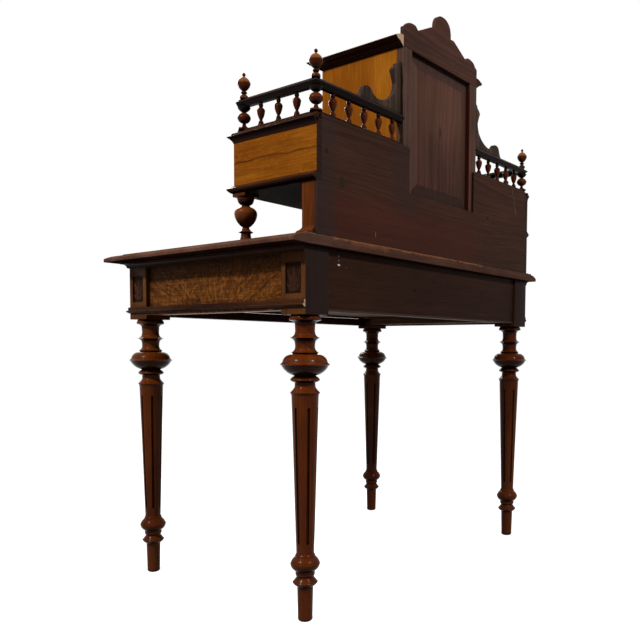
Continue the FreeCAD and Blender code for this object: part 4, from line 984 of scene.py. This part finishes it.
def bevelLightAndShade(tree, place, colour):
    # painted light and shade on the bevels round the raised field, by the way each bevel faces: the one
    # facing +X lighter, the others darker, all unevenly
    normal = newNode(tree, "ShaderNodeNewGeometry").outputs["True Normal"]
    axes = axesOf(tree, normal)
    rough = rampNode(tree, noiseNode(tree, place, 40, 3, 0.6), [(0.3, 0.7), (0.6, 1.0)])
    for index, sign, tint, strength in ((2, -1, (0.028, 0.0155, 0.0130), 0.85),
                                        (2, 1, (0.034, 0.0205, 0.0185), 0.65),
                                        (0, -1, (0.040, 0.0240, 0.0170), 0.5),
                                        (0, 1, (0.125, 0.0700, 0.0550), 0.4)):
        turned = times(tree, axes[index], sign)
        mask = rampNode(tree, turned, [(0.06, 0.0), (0.12, strength)])
        colour = mixColour(tree, times(tree, mask, rough), colour, tint)
    return panelSpots(tree, place, colour)


apronBack = 301.65
marksOf = {
    "apron_back": painted(
        spot((360.7, apronBack, 728), (4.2, 8, 2.2), 0.6, (0.72, 0.70, 0.66), 0.95),
        spot((361.5, apronBack, 745.5), (3.2, 8, 1.4), 0.6, (0.42, 0.38, 0.34), 0.9),
        spot((361, apronBack, 737), (1.6, 8, 1.3), 0.5, (0.34, 0.30, 0.27), 0.8),
        spot((338, apronBack, 724), (2.0, 8, 2.4), 0.8, (0.09, 0.045, 0.03), 0.8),
        spot((92.3, apronBack, 694.4), (9, 8, 3.6), 0.5, nearBlack, 0.85),
        spot((-214, apronBack, 706), (5, 8, 4), 0.5, nearBlack, 0.6),
        patch(None, None, (0.630, 0.6365), 0.0012, (0.085, 0.052, 0.04), 0.6, 0.002)),
    "cabinet_back_panel": bevelLightAndShade,
}
for sideName, sign in sides:
    marksOf["box_side_" + sideName] = flameLine
    marksOf["rear_post_" + sideName] = painted(endStain(318.2))
    # painted shade: each side apron darker along its top under the overhang, and towards its front end
    # beside the post
    marksOf["apron_" + sideName] = painted(
        patch(None, None, (0.730, 0.80), 0.012, (0.046, 0.0190, 0.009), 0.55, 0.03),
        patch(None, (-0.25, -0.175), None, 0.05, (0.060, 0.026, 0.009), 0.3, 0.03))
    for endName in ("front", "back"):
        marksOf[f"post_{endName}_{sideName}"] = painted(*postMarks(sign, endName))


def makeBoards():
    seed = 30
    for pattern, kind, axis, width in boards:
        for label in ("left", "right") if "*" in pattern else ("",):
            name = pattern.replace("*", label)
            material = wood(name, kind, axis, seed, extra=marksOf.get(name),
                            feather=featherFoot if pattern == "apron_*" else None)
            mesh = boardCopy(name, width)
            if name.endswith("_panel"):
                settled(mesh, 5, False)
            body = next((body for body in movingBodies if name.startswith(body)), "root")
            addPiece("eased_" + name, mesh, [material], name, body)
            seed += 1


makeBoards()
print("boards eased and finished")

# arrises as (where the wear starts, how far it reaches), in metres
topBoard = {"cuts": 150, "reach": 505, "rough": 1.3, "back": (0.3165, 0.0028),
            "top": (0.7765, 0.0035)}


def makeTop():
    # the long back arris is worn unevenly, so it is cut at many places and shaken there
    rubbed, above = (-0.19, 0.395), 0.785
    worn = painted(
        patch(rubbed, (0.3125, 0.330), (0.7738, above), 0.0022, (0.135, 0.048, 0.023), 0.85, 0.015),
        patch((0.215, 0.345), (0.3125, 0.330), (0.7690, above), 0.002, (0.25, 0.075, 0.029), 0.85,
              0.020),
        patch(rubbed, (0.3150, 0.330), (0.7755, above), 0.0014, (0.36, 0.140, 0.066), 0.95, 0.014),
        spot((-177, 319, 778.5), (9, 6, 4.5), 0.6, (0.30, 0.17, 0.12), 0.9),
        patch((0.33, 0.52), (0.3165, 0.330), (0.7785, above), 0.001, (0.20, 0.12, 0.085), 0.7, 0.003),
        patch((-0.52, -0.16), (0.3155, 0.330), (0.7765, above), 0.002, (0.075, 0.042, 0.032), 0.6,
              0.007),
        patch(None, (0.3178, 0.330), None, 0.0008, (0.045, 0.026, 0.02), 0.45, 0.001))
    materials = [wood("desk_top", "moulding", "X", 61, extra=worn),
                 wood("desk_top_edge", "rubbedEdge", "X", 62, extra=worn)]
    mesh = boardCopy("desk_top", 1.6, 3)
    shape = bmesh.new()
    shape.from_mesh(mesh)
    for step in range(topBoard["cuts"] + 1):
        x = topBoard["reach"] * (2 * step / topBoard["cuts"] - 1) * mm
        bmesh.ops.bisect_plane(shape, geom=shape.verts[:] + shape.edges[:] + shape.faces[:],
                               plane_co=(x, 0, 0), plane_no=(1, 0, 0))
    (backEdge, backReach), (topEdge, topReach) = topBoard["back"], topBoard["top"]
    for vertex in shape.verts:
        x, y, z = vertex.co
        near = max(0.0, (y - backEdge) / backReach) * max(0.0, (z - topEdge) / topReach)
        if near > 0.02:
            fine = noise.fractal(Vector((x * 55, 3.1, 0)), 1, 2, 4)
            coarse = noise.noise(Vector((x * 9, 7.7, 0)))
            sink = max(0.0, 0.45 + 0.55 * fine + 0.4 * coarse) * topBoard["rough"] * min(1, near)
            vertex.co.y -= sink * 0.7 * mm
            vertex.co.z -= sink * 0.9 * mm
    shape.normal_update()
    for face in shape.faces:
        face.material_index = 0 if face.normal.z > 0.995 else 1
    shape.to_mesh(mesh)
    shape.free()
    addPiece("worn_desk_top", settled(mesh, 20), materials, "desk_top")


makeTop()
print("desk top laid")

backBoard = {
    "thick": (312.75, 318.75), "soft": 0.4, "top": 1010.4, "notch": 140,
    "split": {"top": -351.0, "foot": -381.0, "long": 96, "wide": 1.4},
}


def makeBackPanel():
    half, inner, notch = base["upperHalf"], base["boxInner"], backBoard["notch"]
    foot, step, top, cut = base["deskHeight"], base["boxFoot"], backBoard["top"], base["cabinetOpening"]
    split = backBoard["split"]
    crack = [(split["top"] + split["wide"] / 2, top), (split["foot"], top - split["long"]),
             (split["top"] - split["wide"] / 2, top)]
    outline = [(-half, foot), (half, foot), (half, step), (inner, step), (inner, top),
               (notch, top), (notch, cut), (-notch, cut), (-notch, top), *crack, (-inner, top),
               (-inner, step), (-half, step)]
    y = backBoard["thick"][1]
    topLine = (1.0028, 1.0042)
    marks = painted(
        patch((-0.16, 0.408), None, (0.772, 0.872), 0.03, (0.066, 0.0165, 0.0115), 0.5, 0.05),
        patch((0.10, 0.20), None, (0.86, 1.02), 0.02, (0.031, 0.0185, 0.0165), 0.5, 0.03),
        patch((0.395, 0.46), None, None, 0.012, (0.034, 0.021, 0.0185), 0.6, 0.02),
        spot((417.3, y, 943.6), (5.5, 8, 6), 0.5, (0.030, 0.008, 0.006), 0.85),
        spot((371.7, y, 890.1), (8, 8, 14), 0.8, (0.020, 0.0165, 0.0105), 0.75),
        spot((262, y, 801), (1.2, 8, 7), 0.7, (0.22, 0.14, 0.09), 0.8),
        patch((0.14, 0.445), None, topLine, 0.0004, (0.010, 0.006, 0.005), 0.7),
        patch((-0.445, -0.14), None, topLine, 0.0004, (0.010, 0.006, 0.005), 0.7),
        spot((-214, y, 905), (7, 8, 5), 0.5, (0.018, 0.010, 0.008), 0.7),
        spot((-330, y, 838), (5, 8, 4), 0.5, (0.018, 0.010, 0.008), 0.7),
        patch((-0.46, -0.43), None, None, 0.006, (0.030, 0.019, 0.017), 0.6, 0.006))

    def splitMarks(tree, place, colour):
        # bare wood shows down one side of the split
        axes = axesOf(tree, place)
        slope = (split["top"] - split["foot"]) / split["long"]
        crackLine = scaled(tree, axes[2], slope, (split["foot"] - (top - split["long"]) * slope) * mm)
        away = distance(tree, minus(tree, axes[0], crackLine), 0.0012)
        near = rampNode(tree, times(tree, away, 100), [(0.05, 1.0), (0.13, 0.0)])
        high = rampNode(tree, axes[2], [(0.925, 0.0), (0.945, 0.75)])
        return mixColour(tree, times(tree, near, high), marks(tree, place, colour), (0.26, 0.19, 0.13))

    material = wood("back_panel", "backStain", "X", 64, extra=splitMarks)
    mesh = plate("split_back_panel", [outline], backBoard["thick"], backBoard["soft"])
    addPiece("split_back_panel", mesh, [material], "back_panel")


makeBackPanel()

sunk = {
    "centre": 695.25, "half": (21, 30.25), "deep": 3.2, "relief": 2.5, "bed": 0.25,
    "rows": 22, "columns": 8,
    # each leaf: foot across and up, lean in degrees, length, width and share of the relief
    "leaves": [(0, -27, 0, 54, 15, 1.0), (2, -25, 21, 45, 11, 0.8), (-2, -25, -21, 45, 11, 0.8),
               (3, -26, 48, 23, 9, 0.6), (-3, -26, -48, 23, 9, 0.6), (0, -28, 0, 13, 11, 0.9)],
}


def leafShape(leaf):
    # one pointed leaf as (across, up, out) points: a sunk midrib, a scalloped edge and side
    # veins over a flat bed
    across, foot, lean, length, width, share = leaf
    rows, columns = sunk["rows"], sunk["columns"]
    turn = math.radians(lean)
    top, low = [], []
    for row in range(rows + 1):
        t = row / rows
        wide = width / 2 * (0.06 + 0.94 * math.sin(math.pi * min(1, t ** 0.72)))
        wide *= 1 + 0.09 * math.cos(2 * math.pi * 5 * t)
        for column in range(columns + 1):
            s = 2 * column / columns - 1
            high = sunk["relief"] * share * (1 - s ** 4) * (0.35 + 0.65 * math.sin(math.pi * t ** 0.8))
            high *= 1 - 0.45 * math.exp(-(s / 0.2) ** 2)
            high *= 1 - 0.16 * (1 + math.cos(2 * math.pi * (5 * t - 0.9 * abs(s)))) * abs(s)
            u, v = s * wide, t * length
            x = across + u * math.cos(turn) + v * math.sin(turn)
            z = foot + v * math.cos(turn) - u * math.sin(turn)
            top.append((x, z, high))
            low.append((x, z, -sunk["bed"]))
    return top + low


def leafFaces(start):
    rows, columns = sunk["rows"], sunk["columns"]
    wide, under = columns + 1, (rows + 1) * (columns + 1)
    faces = []
    for row in range(rows):
        for column in range(columns):
            a = start + row * wide + column
            faces.append((a, a + 1, a + wide + 1, a + wide))
            faces.append(tuple(corner + under for corner in (a, a + wide, a + wide + 1, a + 1)))
    rim = list(range(wide)) + [row * wide + columns for row in range(1, rows + 1)]
    rim += [rows * wide + column for column in reversed(range(columns))]
    rim += [row * wide for row in reversed(range(1, rows))]
    for index, corner in enumerate(rim):
        after = rim[(index + 1) % len(rim)]
        faces.append((start + corner, start + corner + under, start + after + under, start + after))
    return faces


def makeLeaves():
    # a spray of leaves cut in each sunk panel of the posts
    x = base["carcassX"] - sunk["deep"]
    y = base["carcassFront"] + sunk["deep"]
    faces, points = [], []
    panels = [("x", side, base[end]) for label, side in sides for end in ("frontY", "backY")]
    panels += [("y", -1, base["legX"] * side) for label, side in sides]
    for kind, out, middle in panels:
        for leaf in sunk["leaves"]:
            faces += leafFaces(len(points))
            for across, up, high in leafShape(leaf):
                z = sunk["centre"] + up
                points.append(((x + high) * out, middle + across, z) if kind == "x" else
                              (middle + across, y - high, z))
    mesh = settled(meshOf("carved_leaves", points, faces), 40)
    addPiece("carved_leaves", mesh, [wood("leaves", "carving", "Z", 66)])


makeLeaves()

# along the foot of the back board, up its ends and its notch, and on the desk's back apron
nails = {
    "radius": 2.1, "high": 0.5, "sink": 0.3, "footRow": 789.5,
    "foot": (-425, -304, -186, -61, 58, 183, 301, 424),
    "board": ((437, 838), (422.5, 912), (422.5, 973), (152, 930), (151, 985)),
    "apron": ((390, 672), (390, 738)),
}


def ironMaterial():
    material, tree, shader = newMaterial("darkIron")
    rust = noiseNode(tree, objectPlace(tree), 300, 3, 0.6)
    colour = rampNode(tree, rust, [(0.35, (0.012, 0.010, 0.009)), (0.65, (0.04, 0.020, 0.012))])
    feedAll(tree, shader, {
        "Base Color": colour, "Roughness": 0.55, "Specular IOR Level": 0.08})
    return material


def makeNails():
    high, radius, low = nails["high"], nails["radius"], -nails["sink"]
    profile = [(0, low), (radius, low), (radius, high * 0.4), (radius * 0.7, high * 0.85), (0, high)]
    material = ironMaterial()
    master = turnedMesh("nail_master", profile, material, sides=14)
    master.transform(Matrix.Rotation(-math.pi / 2, 4, "X"))
    places = [(x, base["panelBack"], nails["footRow"]) for x in nails["foot"]]
    for row, y in (("board", base["panelBack"]), ("apron", apronBack)):
        places += [(x * side, y, z) for label, side in sides for x, z in nails[row]]
    mesh = setOut("iron_nails", master, places, material)
    addPiece("iron_nails", mesh, [material])


makeNails()
print("leaves carved and nails driven")

# turnings as (rise, radius, swell) from the foot up
upper = {
    "column": [(0, 21.5, 0), (3, 21, 0), (10, 11, -2.2), (7.5, 10.2, 0), (2.5, 15.9, 0),
               (8.5, 7.2, -0.8), (2, 7.2, 0), (27, 24.3, 3.6), (14.5, 13.3, 3.2), (5, 8, -0.6),
               (9.5, 17, 2.2), (5.5, 18.2, 0.4), (1, 17, 0)],
    "post": [(0, 12.7, 0), (3.4, 12.4, 0), (8, 3.9, -2), (2, 3.7, 0), (11.2, 14.1, 2.4),
             (10.4, 4, 2.4), (1.4, 4, 0), (7.8, 13, 0.9), (2, 13.5, 0)],
    "finial": [(0, 8.8, 0), (8.6, 3.6, 2.4), (1.8, 3.2, 0), (4.6, 3.4, 3.4), (1.2, 3.6, 0),
               (15.2, 14, 1.8), (13.8, 2.4, 2.4), (1.2, 1.6, 0), (7.5, 0.8, 2.6)],
    "baluster": [(0, 7, 0), (6.7, 5.4, 0), (4.4, 2.8, 0), (2.6, 3.9, 0), (16.5, 8.6, 0.8),
                 (6.5, 3.2, 1), (9.5, 3.2, 1.6)],
    "knob": [(0, 11, 0), (2.5, 11, 0), (4.5, 5, 0), (7, 11.5, 0), (7, 4.5, 2.4)],
    "columnX": 430.5, "columnY": 98.85, "abacus": (39, 876, 883),
    "sideBalusters": 3, "backBalusters": 5, "backMargin": 30,
}

# painted highlight on the upper half of the ball, painted shade under its cap and in the cove near the
# foot
columnLightAndShade = painted(
    band(0.8330, 0.8535, 0.006, (0.22, 0.054, 0.008), 0.6),
    band(0.8570, 0.8690, 0.002, nearBlack, 0.6),
    band(0.7830, 0.7985, 0.002, (0.045, 0.014, 0.006), 0.6))


def makeColumns():
    x, y = upper["columnX"], upper["columnY"]
    width, *levels = upper["abacus"]
    half = width / 2
    for label, side in sides:
        name = "turned_column_" + label
        material = wood("column_" + label, "polished", "Z", 70 + side, extra=columnLightAndShade)
        mesh = turnedMesh("column_" + label, stood(upper["column"], base["deskHeight"], 0.6), material,
                          (x * side, y, 0), 64)
        abacus = boxBoard("abacus_" + label, (x * side - half, x * side + half),
                          (y - half, y + half), levels, 0.8, material)
        addPiece(name, joinedMesh(name, [mesh, abacus]), [material], "ball_column_" + label)


# painted shade at the tops of the posts and balusters under the rail, near their feet and on the
# finials' necks, a dark line round each finial's ball, and a painted highlight on the ball's upper half
galleryLightAndShade = painted(
    band(1.0500, 1.0700, 0.003, nearBlack, 0.85),
    band(1.0172, 1.0300, 0.003, nearBlack, 0.5),
    band(1.0880, 1.0985, 0.002, nearBlack, 0.6),
    band(1.1122, 1.1136, 0.0004, nearBlack, 0.9),
    band(1.1145, 1.1260, 0.003, (0.21, 0.075, 0.016), 0.75))


def makeGallery():
    x, front, back = base["galleryX"], base["galleryFront"], base["galleryBack"]
    corners = [(x * side, y) for label, side in sides for y in (front, back)]
    material = wood("gallery", "polished", "Z", 75, extra=galleryLightAndShade)
    rows = []
    count = upper["sideBalusters"]
    for step in range(1, count + 1):
        rows += [(x * side, front + (back - front) * step / (count + 1)) for label, side in sides]
    near, count = base["cabinetHalf"] + upper["backMargin"], upper["backBalusters"]
    for step in range(count):
        rows += [((near + (x - near) * step / count) * side, back) for label, side in sides]
    for kind, spots, foot, count in (("post", corners, base["galleryFoot"], 56),
                                     ("finial", corners, base["railTop"], 56),
                                     ("baluster", rows, base["galleryFoot"], 40)):
        master = turnedMesh(kind + "_master", stood(upper[kind], 0, 0.4), material, sides=count)
        # each is turned a little from the last, so that its grain isn't the same
        places = [(px, py, foot, 1.3 * index) for index, (px, py) in enumerate(spots)]
        mesh = setOut(f"turned_{kind}s", master, places, material)
        addPiece(f"turned_{kind}s", mesh, [material], f"gallery_{kind}s")


makeColumns()
makeGallery()
print("columns, posts and balusters turned")

wings = {
    "thick": (294.65, 306.65), "soft": 1.2,
    "edge": [(144, 0, 0), (136, 14, -0.6), (129, 26.5, 1), (112, 29.3, 1.2), (103, 23.5, 1),
             (88, 12.3, -1.2), (66, 14, -1), (26, 39.5, -4), (19, 63, -1.1), (30.3, 90, -0.4),
             (16.5, 102.5, 1.2), (16, 107, 0), (0, 116, 0.5)],
}


def makeWings():
    foot, half = base["railTop"], base["cabinetHalf"]
    for label, side in sides:
        name = "fretted_wing_" + label
        stations = [(half, foot)] + [(half + a, foot + h, s) for a, h, s in wings["edge"]]
        line = rounded(traced(stations), 0.8, closed=True)
        material = wood("wing_" + label, "wingStain", "Z", 80 + side)
        mesh = plate(name, [[(x * side, z) for x, z in line]], wings["thick"], wings["soft"])
        addPiece(name, mesh, [material], "wing_bracket_" + label)


makeWings()

backFrame = {
    "inner": 125.5, "ys": (294.75, 312.75), "foot": 879, "crestFoot": 1230, "top": 1253, "relief": 8,
    "crest": [(0, 20, 0), (9.5, 25.5, 0), (17, 32.5, 0.4), (42, 36.5, 1.4), (50, 33.5, 0.8),
              (56.5, 29, -0.6)],
    "heart": [(50, 55, 0), (34.5, 54.5, 1.2), (33.6, 69, 0.3), (24.8, 86.5, 1.8), (0, 94.5, 2.7)],
}

# painted light: a red lit strip down the inner face of the -X stile, which the lamps leave in shade
rebateHighlight = painted(
    patch((-0.1268, -0.1240), None, (0.91, 1.21), 0.0006, (0.11, 0.016, 0.007), 0.8))


def makeBackFrame():
    f = backFrame
    half, inner, ys, crestFoot, top = base["cabinetHalf"], f["inner"], f["ys"], f["crestFoot"], f["top"]
    boards = []
    for label, side in sides:
        xs = sorted((inner * side, half * side))
        material = wood("stile_" + label, "frameStain", "Z", 84 + side, extra=rebateHighlight)
        boards.append(boxBoard("stile_" + label, xs, ys, (f["foot"], crestFoot), 0.9, material))
    levels = (f["foot"], base["cabinetOpening"])
    boards.append(boxBoard("low_rail", (-inner, inner), ys, levels, 0.9,
                           wood("low_rail", "frameStain", "X", 87)))
    line = [(half, crestFoot)]
    line += [(half - inset, top + high, swell) for inset, high, swell in f["crest"]]
    line += [(across, top + high, swell) for across, high, swell in f["heart"]]
    oneSide = traced(line, 1, 8)
    whole = rounded(oneSide + [(-x, z) for x, z in reversed(oneSide[:-1])], 0.8, closed=True)
    thin = ys[0] + f["relief"]
    crest = plate("crest", [whole], (thin, ys[1]), 0.9)
    behind = eased(boxMesh("crest_foot", (-half, half), (ys[0], thin + 0.2), (crestFoot, top)), 0.5)
    for board in (crest, behind):
        board.materials.append(wood(board.name, "crestStain", "X", 88))
    mesh = joinedMesh("back_frame", boards + [crest, behind])
    addPiece("jointed_back_frame", mesh, [], "cabinet_back_frame")


makeBackFrame()
print("cabinet back framed")

door = {"half": 143.3, "ys": (67.15, 86.15), "zs": (801.2, 1227.3), "stile": 42, "rail": 46}
drawerFace, drawerMiddle = -272.35, 705.25
fittings = {
    "knobs": {"desk_drawer": [(-230, drawerFace, drawerMiddle), (230, drawerFace, drawerMiddle)],
              "small_drawer_left": [(-301.55, 77.85, 944.0)],
              "small_drawer_right": [(301.55, 77.85, 944.0)], "door": [(122.3, 67.15, 1014.25)]},
    "escutcheon": {"half": 8, "high": 13, "thick": 1.5, "soft": 0.4},
    # the keyhole's round part, and its slot as half width and drop
    "keyhole": {"middle": 708, "radius": 2.2, "cut": 706.6, "slot": (1.1, 6.0)},
}


def makeDoor():
    half, (low, high), stile, rail = door["half"], door["zs"], door["stile"], door["rail"]
    between = (stile - half, half - stile)
    boards = []
    for name, xs, zs, axis in (("stile_left", (-half, stile - half), (low, high), "Z"),
                               ("stile_right", (half - stile, half), (low, high), "Z"),
                               ("rail_low", between, (low, low + rail), "X"),
                               ("rail_high", between, (high - rail, high), "X")):
        material = wood("door_" + name, "polished", axis, 90 + len(boards))
        boards.append(boxBoard("door_" + name, xs, door["ys"], zs, 0.9, material))
    addPiece("jointed_door_frame", joinedMesh("door_frame", boards), [], "door_frame", "door")


def makeKnobs():
    for index, (body, spots) in enumerate(fittings["knobs"].items()):
        material = wood("knob_" + body, "polished", "Y", 95 + index)
        master = turnedMesh("knob_master", stood(upper["knob"], 0, 0.5), material)
        master.transform(Matrix.Rotation(math.pi / 2, 4, "X"))
        mesh = setOut("turned_knob_" + body, master, spots, material)
        node = body + ("_knobs" if len(spots) > 1 else "_knob")
        addPiece("turned_knob_" + body, mesh, [material], node, body)


def circle(x, z, wide, high, count):
    return [(x + wide * math.cos(2 * math.pi * i / count), z + high * math.sin(2 * math.pi * i / count))
            for i in range(count)]


brass = brassMaterial()


def makeEscutcheon():
    e, k = fittings["escutcheon"], fittings["keyhole"]
    edge = circle(0, drawerMiddle, e["half"], e["high"], 40)
    wide, drop = k["slot"]
    foot = k["middle"] - drop
    hole = [(x, z) for x, z in circle(0, k["middle"], k["radius"], k["radius"], 16) if z > k["cut"]]
    hole += [(-wide, foot), (wide, foot)]
    mesh = plate("keyhole_plate", [edge, hole], (drawerFace - e["thick"], drawerFace), e["soft"])
    addPiece("keyhole_plate", mesh, [brass], "desk_drawer_escutcheon", "desk_drawer")


makeDoor()
makeKnobs()
makeEscutcheon()
print("door, knobs and keyhole fitted")


def dressRest():
    # trays, runners and hinges keep their own shapes and take a finish
    finishes = {name: wood(name, "lining", "Y", 110 + index) for index, name in enumerate(
        ("drawer_runners", "desk_drawer_tray", "small_drawer_left_tray", "small_drawer_right_tray"))}
    finishes.update(door_hinge_pins=brass, door_hinge_leaves=brass)
    for name, material in finishes.items():
        nodes[name].data.materials.clear()
        nodes[name].data.materials.append(material)


dressRest()
print("inner boards finished")

viewpoint = {
    "place": (1.4668, 1.28325, 0.5604), "yaw": -142.894, "pitch": -3.467, "roll": 0.399,
    "focal": 713.5, "middle": (394.4, 390.6), "frameSide": 640, "sensor": 36,
}
studio = {
    "floorSize": 14, "floorTone": 0.55, "floorBounce": 0.09, "floorGlow": 0.88, "sky": 0.26,
    "lampsAim": 0.8,
    "lamps": {"key": dict(place=(2.8, -0.3, 3.0), size=0.25, power=95),
              "fill": dict(place=(0.35, 2.9, 3.0), size=0.25, power=70),
              "front": dict(place=(-1.6, -3.4, 2.8), size=1.2, power=60)},
}


def makeCamera():
    view = viewpoint
    data = bpy.data.cameras.new("camera")
    camera = placed("camera", data)
    yaw, pitch, roll = (math.radians(view[k]) for k in ("yaw", "pitch", "roll"))
    ahead = Vector((math.cos(yaw) * math.cos(pitch), math.sin(yaw) * math.cos(pitch), math.sin(pitch)))
    level = Vector((math.sin(yaw), -math.cos(yaw), 0))
    upright = level.cross(ahead)
    right = level * math.cos(roll) + upright * math.sin(roll)
    up = upright * math.cos(roll) - level * math.sin(roll)
    turn = Matrix((right, up, -ahead)).transposed().to_4x4()
    camera.matrix_world = Matrix.Translation(view["place"]) @ turn
    side = view["frameSide"]
    data.sensor_width = view["sensor"]
    data.lens = view["focal"] / side * view["sensor"]
    data.shift_x = (side / 2 - view["middle"][0]) / side
    data.shift_y = (view["middle"][1] - side / 2) / side
    data.clip_end = 50
    scene.camera = camera


def whiteSeen(tree):
    # 1 where the floor or the world is seen, mirrored or seen through, 0 where it only lights
    rays = newNode(tree, "ShaderNodeLightPath").outputs
    return mathNode(tree, "MAXIMUM", rays["Is Camera Ray"], mathNode(
        tree, "MAXIMUM", rays["Is Glossy Ray"], rays["Is Transmission Ray"]))


def makeFloor():
    half = studio["floorSize"] / 2
    mesh = bpy.data.meshes.new("floor")
    mesh.from_pydata([(-half, -half, 0), (half, -half, 0), (half, half, 0), (-half, half, 0)],
                     [], [(0, 1, 2, 3)])
    material, tree, shader = newMaterial("paleFloor")
    seen = whiteSeen(tree)
    bounce = studio["floorBounce"]
    tone = scaled(tree, seen, studio["floorTone"] - bounce, bounce)
    colour = newNode(tree, "ShaderNodeCombineColor", {0: tone, 1: tone, 2: tone})
    feedAll(tree, shader, {
        "Base Color": colour.outputs[0], "Roughness": 0.95, "Specular IOR Level": 0.0,
        "Emission Color": (1, 1, 1, 1), "Emission Strength": times(tree, seen, studio["floorGlow"])})
    mesh.materials.append(material)
    placed("floor", mesh)


def makeLight():
    scene.world = bpy.data.worlds.new("studio")
    scene.world.use_nodes = True
    tree = scene.world.node_tree
    feedAll(tree, tree.nodes["Background"].inputs, {
        "Strength": scaled(tree, whiteSeen(tree), 1 - studio["sky"], studio["sky"]),
        "Color": (1, 1, 1, 1)})
    for name, lamp in studio["lamps"].items():
        data = bpy.data.lights.new(name, "AREA")
        data.size = lamp["size"]
        data.energy = lamp["power"]
        light = placed(name, data)
        light.location = lamp["place"]
        direction = Vector((0, 0, studio["lampsAim"])) - light.location
        light.rotation_euler = direction.to_track_quat("-Z", "Y").to_euler()


makeCamera()
makeFloor()
makeLight()
scene.view_settings.view_transform = "Standard"
print("camera and studio set")
